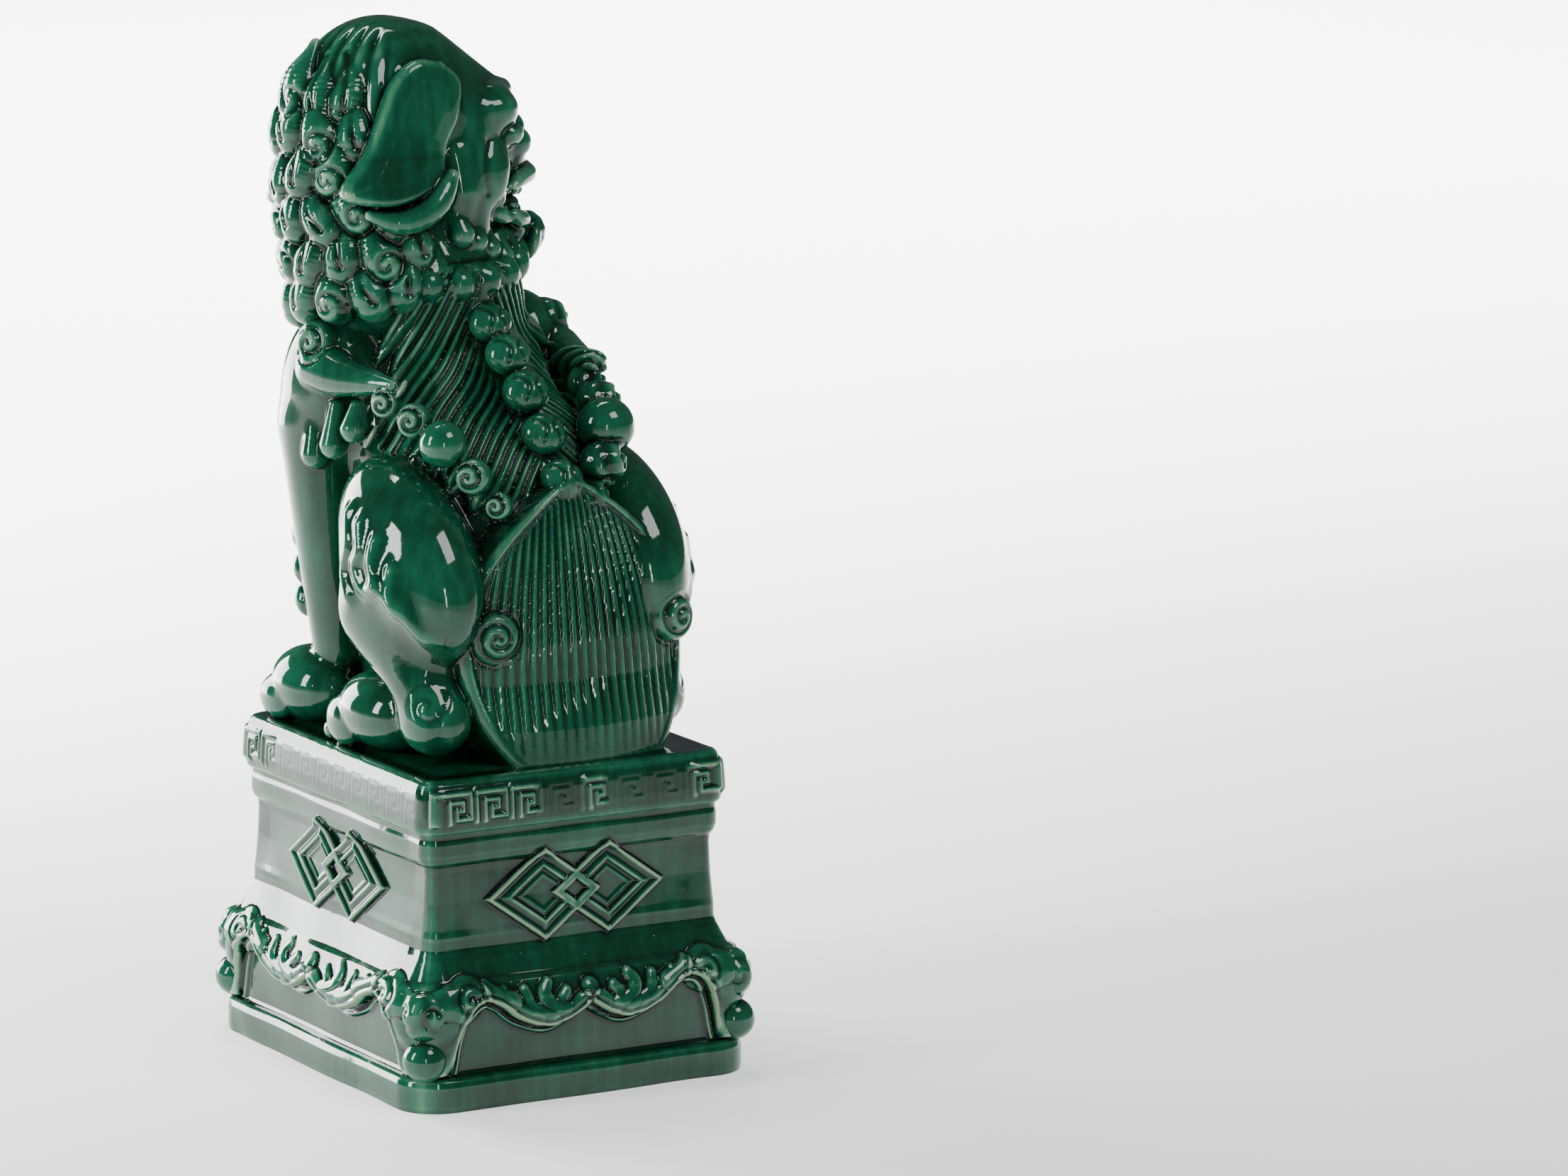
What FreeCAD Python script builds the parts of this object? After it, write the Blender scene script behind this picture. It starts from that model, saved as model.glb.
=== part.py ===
"""Glazed foo dog seated on a moulded plinth, as an assembly of the pieces a potter lutes together.

Row frame, millimetres: the origin is at the centre of the plinth's underside, +Z is up and the
animal's chest faces -Y. Its head looks over its right shoulder, towards -X. Body pieces are drawn in
the animal's own frame, which is turned a few degrees on the plinth. Head pieces are drawn in the
head's own frame, whose face looks along -Y.
"""
import math
import os

import FreeCAD
import Part
from FreeCAD import Placement, Rotation, Vector

DIMS = {
    # plinth: half sizes of the dado, from which every moulding stands out
    "dado_half_width": 60.0,
    "dado_half_depth": 70.5,
    "wall_thickness": 8.0,
    "foot_out": 12.2,
    "foot_top": 12.4,
    "panel_out": 7.0,
    "apron_back_out": 9.0,
    "apron_low": 25.0,
    "apron_high": 46.0,
    "apron_thick": 4.6,
    "dado_low": 62.0,
    "dado_high": 88.0,
    "slab_low": 103.0,
    # edges of the plinth wall's mouldings: how far out each one stands and how far it rises
    "foot_bevel": 1.5,
    "panel_rise": 1.0,
    "apron_rise": 3.0,
    "ledge_in": 3.4,
    "ledge_rise": 4.5,
    "neck_out": 2.0,
    "neck_rise": 10.0,
    "dado_lip": 1.4,
    "dado_step": 1.5,
    "cove_out": 1.8,
    "cove_rise": 3.5,
    "round_out": 2.7,
    "round_rise": 7.0,
    "fillet_out": 2.5,
    "seat_out": 3.4,
    "slab_high": 122.5,
    "slab_low_out": 4.6,
    "slab_high_out": 3.2,
    "slab_crown": 9.0,
    "band_low": 105.5,
    "band_tall": 13.4,
    "band_back": 1.0,
    "key_pitch": 13.4,
    "key_tall": 10.6,
    "key_line": 1.6,
    "key_high": 1.2,
    "keys_across": 9.0,
    "keys_along": 10.0,
    "band_sink": 0.1,
    "hem_lobes": 8.0,
    "hem_rise": 3.0,
    "hem_sag": 7.0,
    "lobe_dip": 2.4,
    "apron_short": 1.0,
    "diamond_half_width": 24.0,
    "diamond_half_height": 17.5,
    "diamond_centre": 13.5,
    "diamond_rail": 4.0,
    "diamond_high": 3.6,
    "diamond_floor": 1.1,
    "floor_inset": 1.5,
    "heart_share": 0.42,
    "heart_high": 2.9,
    "diamond_mid": 76.0,
    "ball_in": 6.6,
    "ball_girth": 6.6,
    "ball_tall": 6.8,
    "ball_mid": 18.6,
    "scroll_in": 7.2,
    "scroll_girth": 8.0,
    "scroll_tall": 10.5,
    "scroll_mid": 34.0,
    # how the animal stands on the plinth
    "body_yaw": 3.0,
    "body_shift": -1.0,
    # a cutting block longer than anything it trims, and how far a mitre's outline runs past the wall
    "beyond": 400.0,
    "mitre_over": 1.0,
    "mitre_beyond": 5.0,
    # masses of the body: centre x, y, z, half sizes and a tilt about the animal's left-right axis
    "rump_x": -3.0, "rump_y": 20.0, "rump_z": 167.0, "rump_rx": 49.0, "rump_ry": 33.0, "rump_rz": 50.0,
    "rump_tilt": 0.0,
    "waist_x": -4.0, "waist_y": 2.0, "waist_z": 208.0, "waist_rx": 43.0, "waist_ry": 35.0,
    "waist_rz": 49.0, "waist_tilt": 35.0,
    "chest_x": -1.0, "chest_y": -38.0, "chest_z": 238.0, "chest_rx": 42.0, "chest_ry": 33.0,
    "chest_rz": 50.0, "chest_tilt": 15.0,
    "neck_x": 6.0, "neck_y": -44.0, "neck_z": 290.0, "neck_rx": 41.0, "neck_ry": 34.0, "neck_rz": 31.0,
    "neck_tilt": 0.0,
    "web_x": 0.0, "web_y": -18.0, "web_z": 152.0, "web_rx": 35.0, "web_ry": 34.0, "web_rz": 60.0,
    "web_tilt": 0.0,
    "body_wall": 7.0,
    # limbs, given for the left side and mirrored for the right; a shaft lies just inside its end balls
    "shaft_share": 0.995,
    "haunch_x": 44.5, "haunch_y": 24.5, "haunch_z": 194.0, "haunch_rx": 21.6, "haunch_ry": 28.6,
    "haunch_rz": 45.5, "haunch_tilt": 47.0,
    "knee_x": 50.0, "knee_y": 10.0, "knee_z": 176.0, "knee_girth": 9.0,
    "heel_x": 49.0, "heel_y": 50.0, "heel_z": 142.0, "heel_girth": 10.5,
    "hind_paw_x": 46.0, "hind_paw_y": 9.0, "hind_paw_z": 138.0, "hind_paw_rx": 17.0, "hind_paw_ry": 24.0,
    "hind_paw_rz": 16.0, "hind_paw_tilt": 0.0,
    "elbow_x": 43.0, "elbow_y": -48.0, "elbow_z": 226.0, "elbow_girth": 15.0,
    "wrist_x": 36.0, "wrist_y": -43.0, "wrist_z": 150.0, "wrist_girth": 9.5,
    "fore_paw_x": 43.0, "fore_paw_y": -54.0, "fore_paw_z": 136.0, "fore_paw_rx": 16.0,
    "fore_paw_ry": 23.0, "fore_paw_rz": 15.0, "fore_paw_tilt": 0.0,
    "shoulder_x": 41.0, "shoulder_y": -44.0, "shoulder_z": 250.0, "shoulder_rx": 18.0,
    "shoulder_ry": 25.0, "shoulder_rz": 34.0, "shoulder_tilt": -10.0,
    "mantle_x": 21.0, "mantle_y": 6.0, "mantle_z": 242.0, "mantle_rx": 27.0, "mantle_ry": 27.0,
    "mantle_rz": 50.0, "mantle_tilt": 42.0,
    # relief down the back and flanks
    "knob_girth": 7.2,
    "knob_high_y": -12.0, "knob_high_z": 288.0, "knob_low_y": 46.0, "knob_low_z": 226.0, "knob_bow": 5.0,
    "curl_high_x": 45.0, "curl_high_y": -2.0, "curl_high_z": 256.0, "curl_high_girth": 6.2,
    "curl_low_x": 24.0, "curl_low_y": 46.0, "curl_low_z": 214.0, "curl_low_girth": 4.2, "curl_bow": 7.0,
    # tail: an upright leaf against the rump
    "tail_x": -8.0, "tail_y": 55.0, "tail_low": 126.0, "tail_high": 224.0, "tail_half_width": 41.0,
    "tail_wide_z": 165.0, "tail_thick": 9.0, "tail_lean": 6.0, "tail_bow": 0.68, "tail_bow_rise": 5.0,
    "tail_scroll_x": 38.0, "tail_scroll_y": 56.0, "tail_scroll_z": 157.0, "tail_scroll_girth": 9.0,
    # head: where it sits, then its own pieces in its own frame
    "head_x": 7.0, "head_y": -46.0, "head_z": 345.0, "head_turn": -94.0, "head_lean": 8.0,
    "skull_x": 0.0, "skull_y": 2.0, "skull_z": 8.0, "skull_rx": 35.0, "skull_ry": 41.0, "skull_rz": 38.0,
    "skull_tilt": 0.0, "skull_wall": 6.0,
    "mane_x": 0.0, "mane_y": 19.0, "mane_z": -20.0, "mane_rx": 38.0, "mane_ry": 33.0, "mane_rz": 40.0,
    "mane_tilt": 0.0,
    "brow_x": 15.0, "brow_y": -33.0, "brow_z": 15.0, "brow_rx": 15.0, "brow_ry": 12.0, "brow_rz": 9.0,
    "brow_tilt": 0.0,
    "cheek_x": 20.0, "cheek_y": -20.0, "cheek_z": -21.0, "cheek_rx": 14.0, "cheek_ry": 16.0,
    "cheek_rz": 19.0, "cheek_tilt": 0.0,
    "snout_x": 0.0, "snout_y": -37.0, "snout_z": -13.0, "snout_rx": 20.0, "snout_ry": 19.0,
    "snout_rz": 13.0, "snout_tilt": 0.0,
    "nose_x": 0.0, "nose_y": -49.0, "nose_z": -4.0, "nose_rx": 12.0, "nose_ry": 7.0, "nose_rz": 7.5,
    "nose_tilt": 0.0,
    "jaw_x": 0.0, "jaw_y": -37.0, "jaw_z": -38.0, "jaw_rx": 17.0, "jaw_ry": 17.5, "jaw_rz": 7.5,
    "jaw_tilt": 0.0,
    "chin_x": 0.0, "chin_y": -22.0, "chin_z": -36.0, "chin_rx": 15.0, "chin_ry": 12.0, "chin_rz": 14.0,
    "chin_tilt": 0.0,
    "beard_x": 0.0, "beard_y": -50.0, "beard_z": -50.0, "beard_rx": 8.0, "beard_ry": 4.5,
    "beard_rz": 11.0, "beard_tilt": 20.0,
    "eye_x": 19.0, "eye_y": -38.0, "eye_z": 3.0, "eye_girth": 6.0,
    "tooth_row": 14.0, "tooth_girth": 1.9, "tooth_tall": 5.0, "tooth_y": -38.0, "tooth_z": -30.0,
    "tooth_tip": 0.4, "tooth_apart": 5.6, "tooth_flat": 0.8, "tooth_spread": 75.0,
    "ear_x": 37.0, "ear_thick": 6.0, "ear_splay": 6.0,
    "lock_width": 4.2, "lock_thick": 3.4, "lock_tall": 6.6,
    "lock_rows": 5.0, "locks_across": 6.0, "lock_top": 62.0, "lock_span": 118.0, "lock_swing": 66.0,
    "lock_pitch": 0.8,
    "collar_x": 5.0, "collar_y": -42.0, "collar_z": 287.0, "collar_ring": 39.0, "collar_girth": 4.0,
    "collar_tilt": 14.0,
}

SIDES = {"left": 1, "right": -1}
FACES = {"front": -90.0, "right": 180.0, "back": 90.0, "left": 0.0}

doc = FreeCAD.newDocument("foo_dog")
dims = doc.addObject("Spreadsheet::Sheet", "dims")
for row, (alias, value) in enumerate(DIMS.items(), start=1):
    dims.set(f"A{row}", alias)
    dims.set(f"B{row}", str(value))
    dims.setAlias(f"B{row}", alias)
doc.recompute()

nodes = []


def size(alias):
    """A driving dimension as the sheet holds it."""
    return float(getattr(dims, alias))


def node(shape_object, label, placement=None):
    """Names a finished sub-part, and puts it in its place in the row frame."""
    shape_object.Label = label
    if placement is not None:
        shape_object.Placement = placement
    nodes.append(shape_object)
    return shape_object


def body_frame():
    """The animal's frame in the row frame."""
    return Placement(Vector(size("body_shift"), 0, 0), Rotation(Vector(0, 0, 1), size("body_yaw")))


def head_frame():
    """The head's frame in the row frame: turned over the right shoulder, then leant."""
    turn = Rotation(Vector(0, 0, 1), size("head_turn"))
    lean = Rotation(Vector(1, 0, 0), size("head_lean"))
    return Placement(Vector(size("head_x"), size("head_y"), size("head_z")), lean.multiply(turn))


def at(item, axis, expression):
    """Binds one coordinate of an object's place to the sheet."""
    item.setExpression(f"Placement.Base.{axis}", expression)


def ellipsoid(key, side=1, grow="0", seam=0):
    """An ellipsoid with the sheet's centre, half sizes and tilt for key, its seam turned by seam degrees."""
    item = doc.addObject("Part::Ellipsoid", f"{key}_form")
    item.Angle1 = -90
    item.Angle2 = 90
    item.Angle3 = 360
    item.setExpression("Radius1", f"dims.{key}_rz + {grow}")
    item.setExpression("Radius2", f"dims.{key}_rx + {grow}")
    item.setExpression("Radius3", f"dims.{key}_ry + {grow}")
    tilt = Rotation(Vector(1, 0, 0), size(f"{key}_tilt"))
    item.Placement = Placement(Vector(0, 0, 0), tilt.multiply(Rotation(Vector(0, 0, 1), seam)))
    at(item, "x", f"{side} * dims.{key}_x")
    at(item, "y", f"dims.{key}_y")
    at(item, "z", f"dims.{key}_z")
    return item


def ball(girth, x, y, z):
    """A sphere whose radius and centre are expressions on the sheet."""
    item = doc.addObject("Part::Sphere", "ball")
    item.setExpression("Radius", girth)
    at(item, "x", x)
    at(item, "y", y)
    at(item, "z", z)
    return item


def group(kind, members, name):
    """A fuse or a compound of several objects."""
    item = doc.addObject(f"Part::{kind}", name)
    if kind == "MultiFuse":
        item.Shapes = members
    else:
        item.Links = members
    return item


def cut(base, tools, name):
    """The base with every tool taken off it, so that neighbouring pieces meet face to face."""
    item = base
    for tool in tools:
        step = doc.addObject("Part::Cut", name)
        step.Base = item
        step.Tool = tool
        item = step
    return item


def limb(top, bottom, side, name):
    """A tapering limb: a cone between two balls, all three bound to the sheet."""
    upper = ball(f"dims.{top}_girth", f"{side} * dims.{top}_x", f"dims.{top}_y", f"dims.{top}_z")
    lower = ball(f"dims.{bottom}_girth", f"{side} * dims.{bottom}_x", f"dims.{bottom}_y", f"dims.{bottom}_z")
    start = Vector(side * size(f"{bottom}_x"), size(f"{bottom}_y"), size(f"{bottom}_z"))
    end = Vector(side * size(f"{top}_x"), size(f"{top}_y"), size(f"{top}_z"))
    span = end - start
    shaft = doc.addObject("Part::Cone", "shaft")
    shaft.setExpression("Radius1", f"dims.{bottom}_girth * dims.shaft_share")
    shaft.setExpression("Radius2", f"dims.{top}_girth * dims.shaft_share")
    shaft.Height = span.Length
    shaft.Placement = Placement(start, Rotation(Vector(0, 0, 1), span))
    return group("MultiFuse", [upper, shaft, lower], f"{name}_form")


# ---------------------------------------------------------------- sketches


def plane(body, role):
    """One of a body's own origin planes."""
    return next(item for item in body.Origin.OriginFeatures if item.Role == role)


def new_body(name):
    return doc.addObject("PartDesign::Body", name)


def new_sketch(body, role, name, rise=0.0):
    """A sketch on one of the body's own planes, raised along the plane's normal."""
    sketch = body.newObject("Sketcher::SketchObject", name)
    sketch.AttachmentSupport = [(plane(body, role), "")]
    sketch.MapMode = "FlatFace"
    sketch.AttachmentOffset = Placement(Vector(0, 0, rise), Rotation())
    return sketch


def outline(sketch, points):
    """A closed outline of straight lines."""
    corners = [Vector(x, y, 0) for x, y in points]
    for start, end in zip(corners, corners[1:] + corners[:1]):
        sketch.addGeometry(Part.LineSegment(start, end), False)


def pad(body, sketch, length, name, both_ways=False):
    """Pads a sketch by an expression on the sheet."""
    feature = body.newObject("PartDesign::Pad", name)
    feature.Profile = sketch
    feature.setExpression("Length", length)
    feature.Midplane = both_ways
    return feature


def stroke(path, width):
    """The outline of a right-angled path drawn with a pen of the given width."""
    left, right = [], []
    for index, (x, y) in enumerate(path):
        before = path[max(index - 1, 0)]
        after = path[min(index + 1, len(path) - 1)]
        normals = []
        for (ax, ay), (bx, by) in ((before, (x, y)), ((x, y), after)):
            run = math.hypot(bx - ax, by - ay)
            if run > 0:
                normals.append(((ay - by) / run, (bx - ax) / run))
        shift_x = sum(normal[0] for normal in normals)
        shift_y = sum(normal[1] for normal in normals)
        left.append((x + shift_x * width / 2, y + shift_y * width / 2))
        right.append((x - shift_x * width / 2, y - shift_y * width / 2))
    return left + right[::-1]


def face_place(face, out):
    """Stands a relief drawn in the XZ plane, raised towards -Y, on one face of the plinth."""
    angle = FACES[face]
    turn = Rotation(Vector(0, 0, 1), angle + 90)
    reach = size("dado_half_depth") if face in ("front", "back") else size("dado_half_width")
    direction = Vector(math.cos(math.radians(angle)), math.sin(math.radians(angle)), 0)
    return Placement(direction * (reach + out), turn)


def half_run(face):
    """Half the length of the dado along a face."""
    return size("dado_half_width") if face in ("front", "back") else size("dado_half_depth")


# ---------------------------------------------------------------- plinth


def wall_profile():
    """The moulded section of a plinth wall: (distance out from the dado, height)."""
    inner = -size("wall_thickness")
    foot = size("foot_out")
    foot_top = size("foot_top")
    panel = size("panel_out")
    seat = size("apron_back_out")
    low = size("apron_low")
    high = size("apron_high")
    dado_low = size("dado_low")
    dado_high = size("dado_high")
    top = size("slab_low")
    return [
        (inner, 0.0),
        (foot, 0.0),
        (foot, foot_top - size("foot_bevel")),
        (foot - size("foot_bevel"), foot_top),
        (panel, foot_top + size("panel_rise")),
        (panel, low),
        (seat, low + size("apron_rise")),
        (seat, high),
        (seat - size("ledge_in"), high + size("ledge_rise")),
        (size("neck_out"), high + size("neck_rise")),
        (size("dado_lip"), dado_low),
        (0.0, dado_low + size("dado_step")),
        (0.0, dado_high),
        (size("cove_out"), dado_high + size("cove_rise")),
        (size("round_out"), dado_high + size("round_rise")),
        (size("fillet_out"), top - size("dado_step")),
        (size("seat_out"), top),
        (inner, top),
    ]


def plinth_wall(face):
    """One slab of the plinth: the section run along the face and mitred at both corners."""
    body = new_body(f"wall_{face}")
    section = new_sketch(body, "YZ_Plane", f"section_{face}")
    outline(section, [(-out, height) for out, height in wall_profile()])
    reach = half_run(face) + size("foot_out")
    run = pad(body, section, "1", f"run_{face}", both_ways=True)
    half = "dado_half_width" if face in ("front", "back") else "dado_half_depth"
    run.setExpression("Length", f"2 * (dims.{half} + dims.foot_out)")
    doc.recompute()
    inner = size("wall_thickness")
    outer = size("foot_out") + size("mitre_over")
    end = reach + size("mitre_beyond")
    mitre = new_sketch(body, "XY_Plane", f"mitre_{face}")
    for side in (1, -1):
        inside = (side * (half_run(face) - inner), inner)
        outside = (side * (half_run(face) + outer), -outer)
        outline(mitre, [inside, outside, (side * end, -outer), (side * end, inner)])
    trim = body.newObject("PartDesign::Pocket", f"mitres_{face}")
    trim.Profile = mitre
    trim.Type = "ThroughAll"
    trim.Midplane = True
    body.Tip = trim
    return node(body, f"plinth_wall_{face}", face_place(face, 0.0))


def top_slab():
    """The slab the animal sits on: tapering sides, hollow beneath."""
    slab = doc.addObject("Part::Wedge", "slab_block")
    slab.setExpression("Xmin", "-dims.dado_half_width - dims.slab_low_out")
    slab.setExpression("Xmax", "dims.dado_half_width + dims.slab_low_out")
    slab.setExpression("Zmin", "-dims.dado_half_depth - dims.slab_low_out")
    slab.setExpression("Zmax", "dims.dado_half_depth + dims.slab_low_out")
    slab.setExpression("X2min", "-dims.dado_half_width - dims.slab_high_out")
    slab.setExpression("X2max", "dims.dado_half_width + dims.slab_high_out")
    slab.setExpression("Z2min", "-dims.dado_half_depth - dims.slab_high_out")
    slab.setExpression("Z2max", "dims.dado_half_depth + dims.slab_high_out")
    slab.setExpression("Ymin", "dims.slab_low")
    slab.setExpression("Ymax", "dims.slab_high")
    slab.Placement = Placement(Vector(0, 0, 0), Rotation(Vector(1, 0, 0), 90))
    room = doc.addObject("Part::Box", "slab_room")
    room.setExpression("Length", "2 * (dims.dado_half_width - dims.wall_thickness)")
    room.setExpression("Width", "2 * (dims.dado_half_depth - dims.wall_thickness)")
    room.setExpression("Height", "dims.slab_high - dims.slab_crown - dims.slab_low")
    at(room, "x", "dims.wall_thickness - dims.dado_half_width")
    at(room, "y", "dims.wall_thickness - dims.dado_half_depth")
    at(room, "z", "dims.slab_low")
    return node(cut(slab, [room], "slab"), "top_slab")


def fret_band(face):
    """A strip of square-spiral key pattern on the slab's edge."""
    body = new_body(f"fret_{face}")
    units = int(size("keys_across") if face in ("front", "back") else size("keys_along"))
    pitch = size("key_pitch")
    half = units * pitch / 2
    tall = size("band_tall")
    back = new_sketch(body, "XZ_Plane", f"strip_{face}")
    outline(back, [(-half, 0), (half, 0), (half, tall), (-half, tall)])
    pad(body, back, "dims.band_back", f"strip_pad_{face}")
    key = new_sketch(body, "XZ_Plane", f"key_{face}", size("band_back"))
    low = (tall - size("key_tall")) / 2 + size("key_line") / 2
    high = tall - low
    step = size("key_line") * 2
    first = -half + step / 2
    last = first + pitch - step
    path = [
        (first, low), (first, high), (last, high), (last, low), (first + step, low),
        (first + step, high - step), (last - step, high - step),
    ]
    outline(key, stroke(path, size("key_line")))
    unit = pad(body, key, "dims.key_high", f"key_pad_{face}")
    doc.recompute()
    repeat = body.newObject("PartDesign::LinearPattern", f"keys_{face}")
    repeat.Originals = [unit]
    repeat.Direction = (back, ["H_Axis"])
    repeat.Length = pitch * (units - 1)
    repeat.Occurrences = units
    body.Tip = repeat
    place = face_place(face, size("slab_low_out") - size("band_sink"))
    lift = Placement(Vector(0, 0, size("band_low")), Rotation())
    return node(body, f"fret_band_{face}", lift.multiply(place))


def rhombus(centre, half_width, half_height):
    return [
        (centre - half_width, 0), (centre, -half_height), (centre + half_width, 0), (centre, half_height),
    ]


def lozenge(face):
    """Two interlaced diamonds with a small diamond at their crossing."""
    body = new_body(f"lozenge_{face}")
    wide = size("diamond_half_width")
    tall = size("diamond_half_height")
    rail = size("diamond_rail")
    slant = math.hypot(wide, tall)
    for index, side in enumerate((1, -1)):
        ring = new_sketch(body, "XZ_Plane", f"diamond_{face}_{index}")
        centre = side * size("diamond_centre")
        outline(ring, rhombus(centre, wide, tall))
        outline(ring, rhombus(centre, wide - rail * slant / tall, tall - rail * slant / wide))
        pad(body, ring, "dims.diamond_high", f"diamond_pad_{face}_{index}")
    heart = new_sketch(body, "XZ_Plane", f"heart_{face}")
    share = size("heart_share")
    outline(heart, rhombus(0, wide * share, tall * share))
    pad(body, heart, "dims.heart_high", f"heart_pad_{face}")
    floor = new_sketch(body, "XZ_Plane", f"floor_{face}")
    outline(floor, rhombus(0, wide + size("diamond_centre") - size("floor_inset") * rail, tall - rail / 2))
    pad(body, floor, "dims.diamond_floor", f"floor_pad_{face}")
    doc.recompute()
    body.Tip = body.Group[-1]
    lift = Placement(Vector(0, 0, size("diamond_mid")), Rotation())
    return node(body, f"lozenge_{face}", lift.multiply(face_place(face, 0.0)))


def apron(face):
    """A leaf apron: straight along the top, with lobes below that hang as two swags to a centre bead."""
    body = new_body(f"apron_{face}")
    half = half_run(face) - size("apron_short")
    lobes = int(size("hem_lobes"))
    low = size("apron_low")
    high = size("apron_high")
    sketch = new_sketch(body, "XZ_Plane", f"swags_{face}")
    step = 2 * half / lobes

    def hem(x):
        """Height of the lower edge: two sagging swags."""
        return low + size("hem_rise") + size("hem_sag") * math.cos(math.pi * x / half) ** 2

    edge = [-half + index * step for index in range(lobes + 1)]
    sketch.addGeometry(Part.LineSegment(Vector(half, high, 0), Vector(-half, high, 0)), False)
    sketch.addGeometry(Part.LineSegment(Vector(-half, high, 0), Vector(-half, hem(-half), 0)), False)
    for start, end in zip(edge, edge[1:]):
        middle = (start + end) / 2
        dip = min(hem(start), hem(end), hem(middle)) - size("lobe_dip")
        sketch.addGeometry(
            Part.Arc(Vector(start, hem(start), 0), Vector(middle, dip, 0), Vector(end, hem(end), 0)), False)
    sketch.addGeometry(Part.LineSegment(Vector(half, hem(half), 0), Vector(half, high, 0)), False)
    body.Tip = pad(body, sketch, "dims.apron_thick", f"swag_pad_{face}")
    return node(body, f"leaf_apron_{face}", face_place(face, size("apron_back_out")))


def corner_pieces(walls, aprons):
    """Ball feet and scroll brackets under the four corners of the plinth."""
    for across, x in SIDES.items():
        for along, y in (("front", -1), ("back", 1)):
            tools = [walls[along], walls[across]]
            foot = ellipsoid_at("ball", x, y)
            bracket = ellipsoid_at("scroll", x, y)
            trimmed = cut(bracket, tools + [aprons[along], aprons[across]], "scroll_cut")
            node(trimmed, f"corner_scroll_{along}_{across}")
            node(cut(foot, tools + [bracket], "ball_cut"), f"ball_foot_{along}_{across}")


def ellipsoid_at(key, x, y):
    """An upright ellipsoid standing on a corner of the plinth."""
    item = doc.addObject("Part::Ellipsoid", key)
    item.Angle1 = -90
    item.Angle2 = 90
    item.Angle3 = 360
    item.setExpression("Radius1", f"dims.{key}_tall")
    item.setExpression("Radius2", f"dims.{key}_girth")
    item.setExpression("Radius3", f"dims.{key}_girth")
    at(item, "x", f"{x} * (dims.dado_half_width + dims.{key}_in)")
    at(item, "y", f"{y} * (dims.dado_half_depth + dims.{key}_in)")
    at(item, "z", f"dims.{key}_mid")
    return item


walls = {face: plinth_wall(face) for face in FACES}
top_slab()
for face in FACES:
    fret_band(face)
    lozenge(face)
aprons = {face: apron(face) for face in FACES}
corner_pieces(walls, aprons)

# ---------------------------------------------------------------- body

below = doc.addObject("Part::Box", "below_slab")
below.setExpression("Length", "dims.beyond")
below.setExpression("Width", "dims.beyond")
below.setExpression("Height", "dims.slab_high")
at(below, "x", "-dims.beyond / 2")
at(below, "y", "-dims.beyond / 2")

TORSO = ("rump", "waist", "chest", "neck")
skin = group("MultiFuse", [ellipsoid(key) for key in TORSO], "torso_skin")
hollow = group("MultiFuse", [ellipsoid(key, 1, "(-dims.body_wall)") for key in TORSO], "torso_hollow")
node(cut(skin, [hollow, below], "torso"), "torso_shell", body_frame())

haunches = {name: ellipsoid("haunch", side, seam=90 - 90 * side) for name, side in SIDES.items()}
shins = {name: limb("knee", "heel", side, f"shin_{name}") for name, side in SIDES.items()}
hind_paws = {name: ellipsoid("hind_paw", side) for name, side in SIDES.items()}
forelegs = {name: limb("elbow", "wrist", side, f"foreleg_{name}") for name, side in SIDES.items()}
fore_paws = {name: ellipsoid("fore_paw", side) for name, side in SIDES.items()}
shoulders = {name: ellipsoid("shoulder", side) for name, side in SIDES.items()}
mantles = {name: ellipsoid("mantle", side) for name, side in SIDES.items()}


def legs(name):
    """One side's limbs, each trimmed where it meets the piece it is luted to."""
    node(cut(haunches[name], [skin, below], "haunch_cut"), f"haunch_{name}", body_frame())
    node(cut(shins[name], [skin, haunches[name], below], "shin_cut"), f"shin_{name}", body_frame())
    tools = [skin, haunches[name], shins[name], below]
    node(cut(hind_paws[name], tools, "hind_paw_cut"), f"hind_paw_{name}", body_frame())
    node(cut(forelegs[name], [skin, below], "foreleg_cut"), f"foreleg_{name}", body_frame())
    node(cut(fore_paws[name], [forelegs[name], below], "fore_paw_cut"), f"fore_paw_{name}", body_frame())
    tools = [skin, forelegs[name]]
    node(cut(shoulders[name], tools, "shoulder_cut"), f"shoulder_lobe_{name}", body_frame())


def belly_web():
    """The clay left standing between the fore and hind legs."""
    tools = [skin, below]
    for name in SIDES:
        tools += [haunches[name], shins[name], hind_paws[name], forelegs[name], fore_paws[name]]
    node(cut(ellipsoid("web"), tools, "web_cut"), "belly_web", body_frame())


def back_mantle():
    """The combed hair over the back, in two halves that meet under the spine knobs."""
    for name, side in SIDES.items():
        beyond = doc.addObject("Part::Box", "other_half")
        beyond.setExpression("Length", "dims.beyond / 2")
        beyond.setExpression("Width", "dims.beyond")
        beyond.setExpression("Height", "dims.beyond")
        at(beyond, "x", "dims.waist_x - dims.beyond / 2" if side > 0 else "dims.waist_x")
        at(beyond, "y", "-dims.beyond / 2")
        tools = [beyond, skin, haunches[name], shoulders[name], forelegs[name]]
        node(cut(mantles[name], tools, "mantle_cut"), f"back_mantle_{name}", body_frame())


def along(low, high, share, bow="0"):
    """An expression part of the way from one sheet value to another, bowed outwards in the middle."""
    return f"{low} + ({high} - {low}) * {share:.4f} + {bow} * {math.sin(math.pi * share):.4f}"


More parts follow.
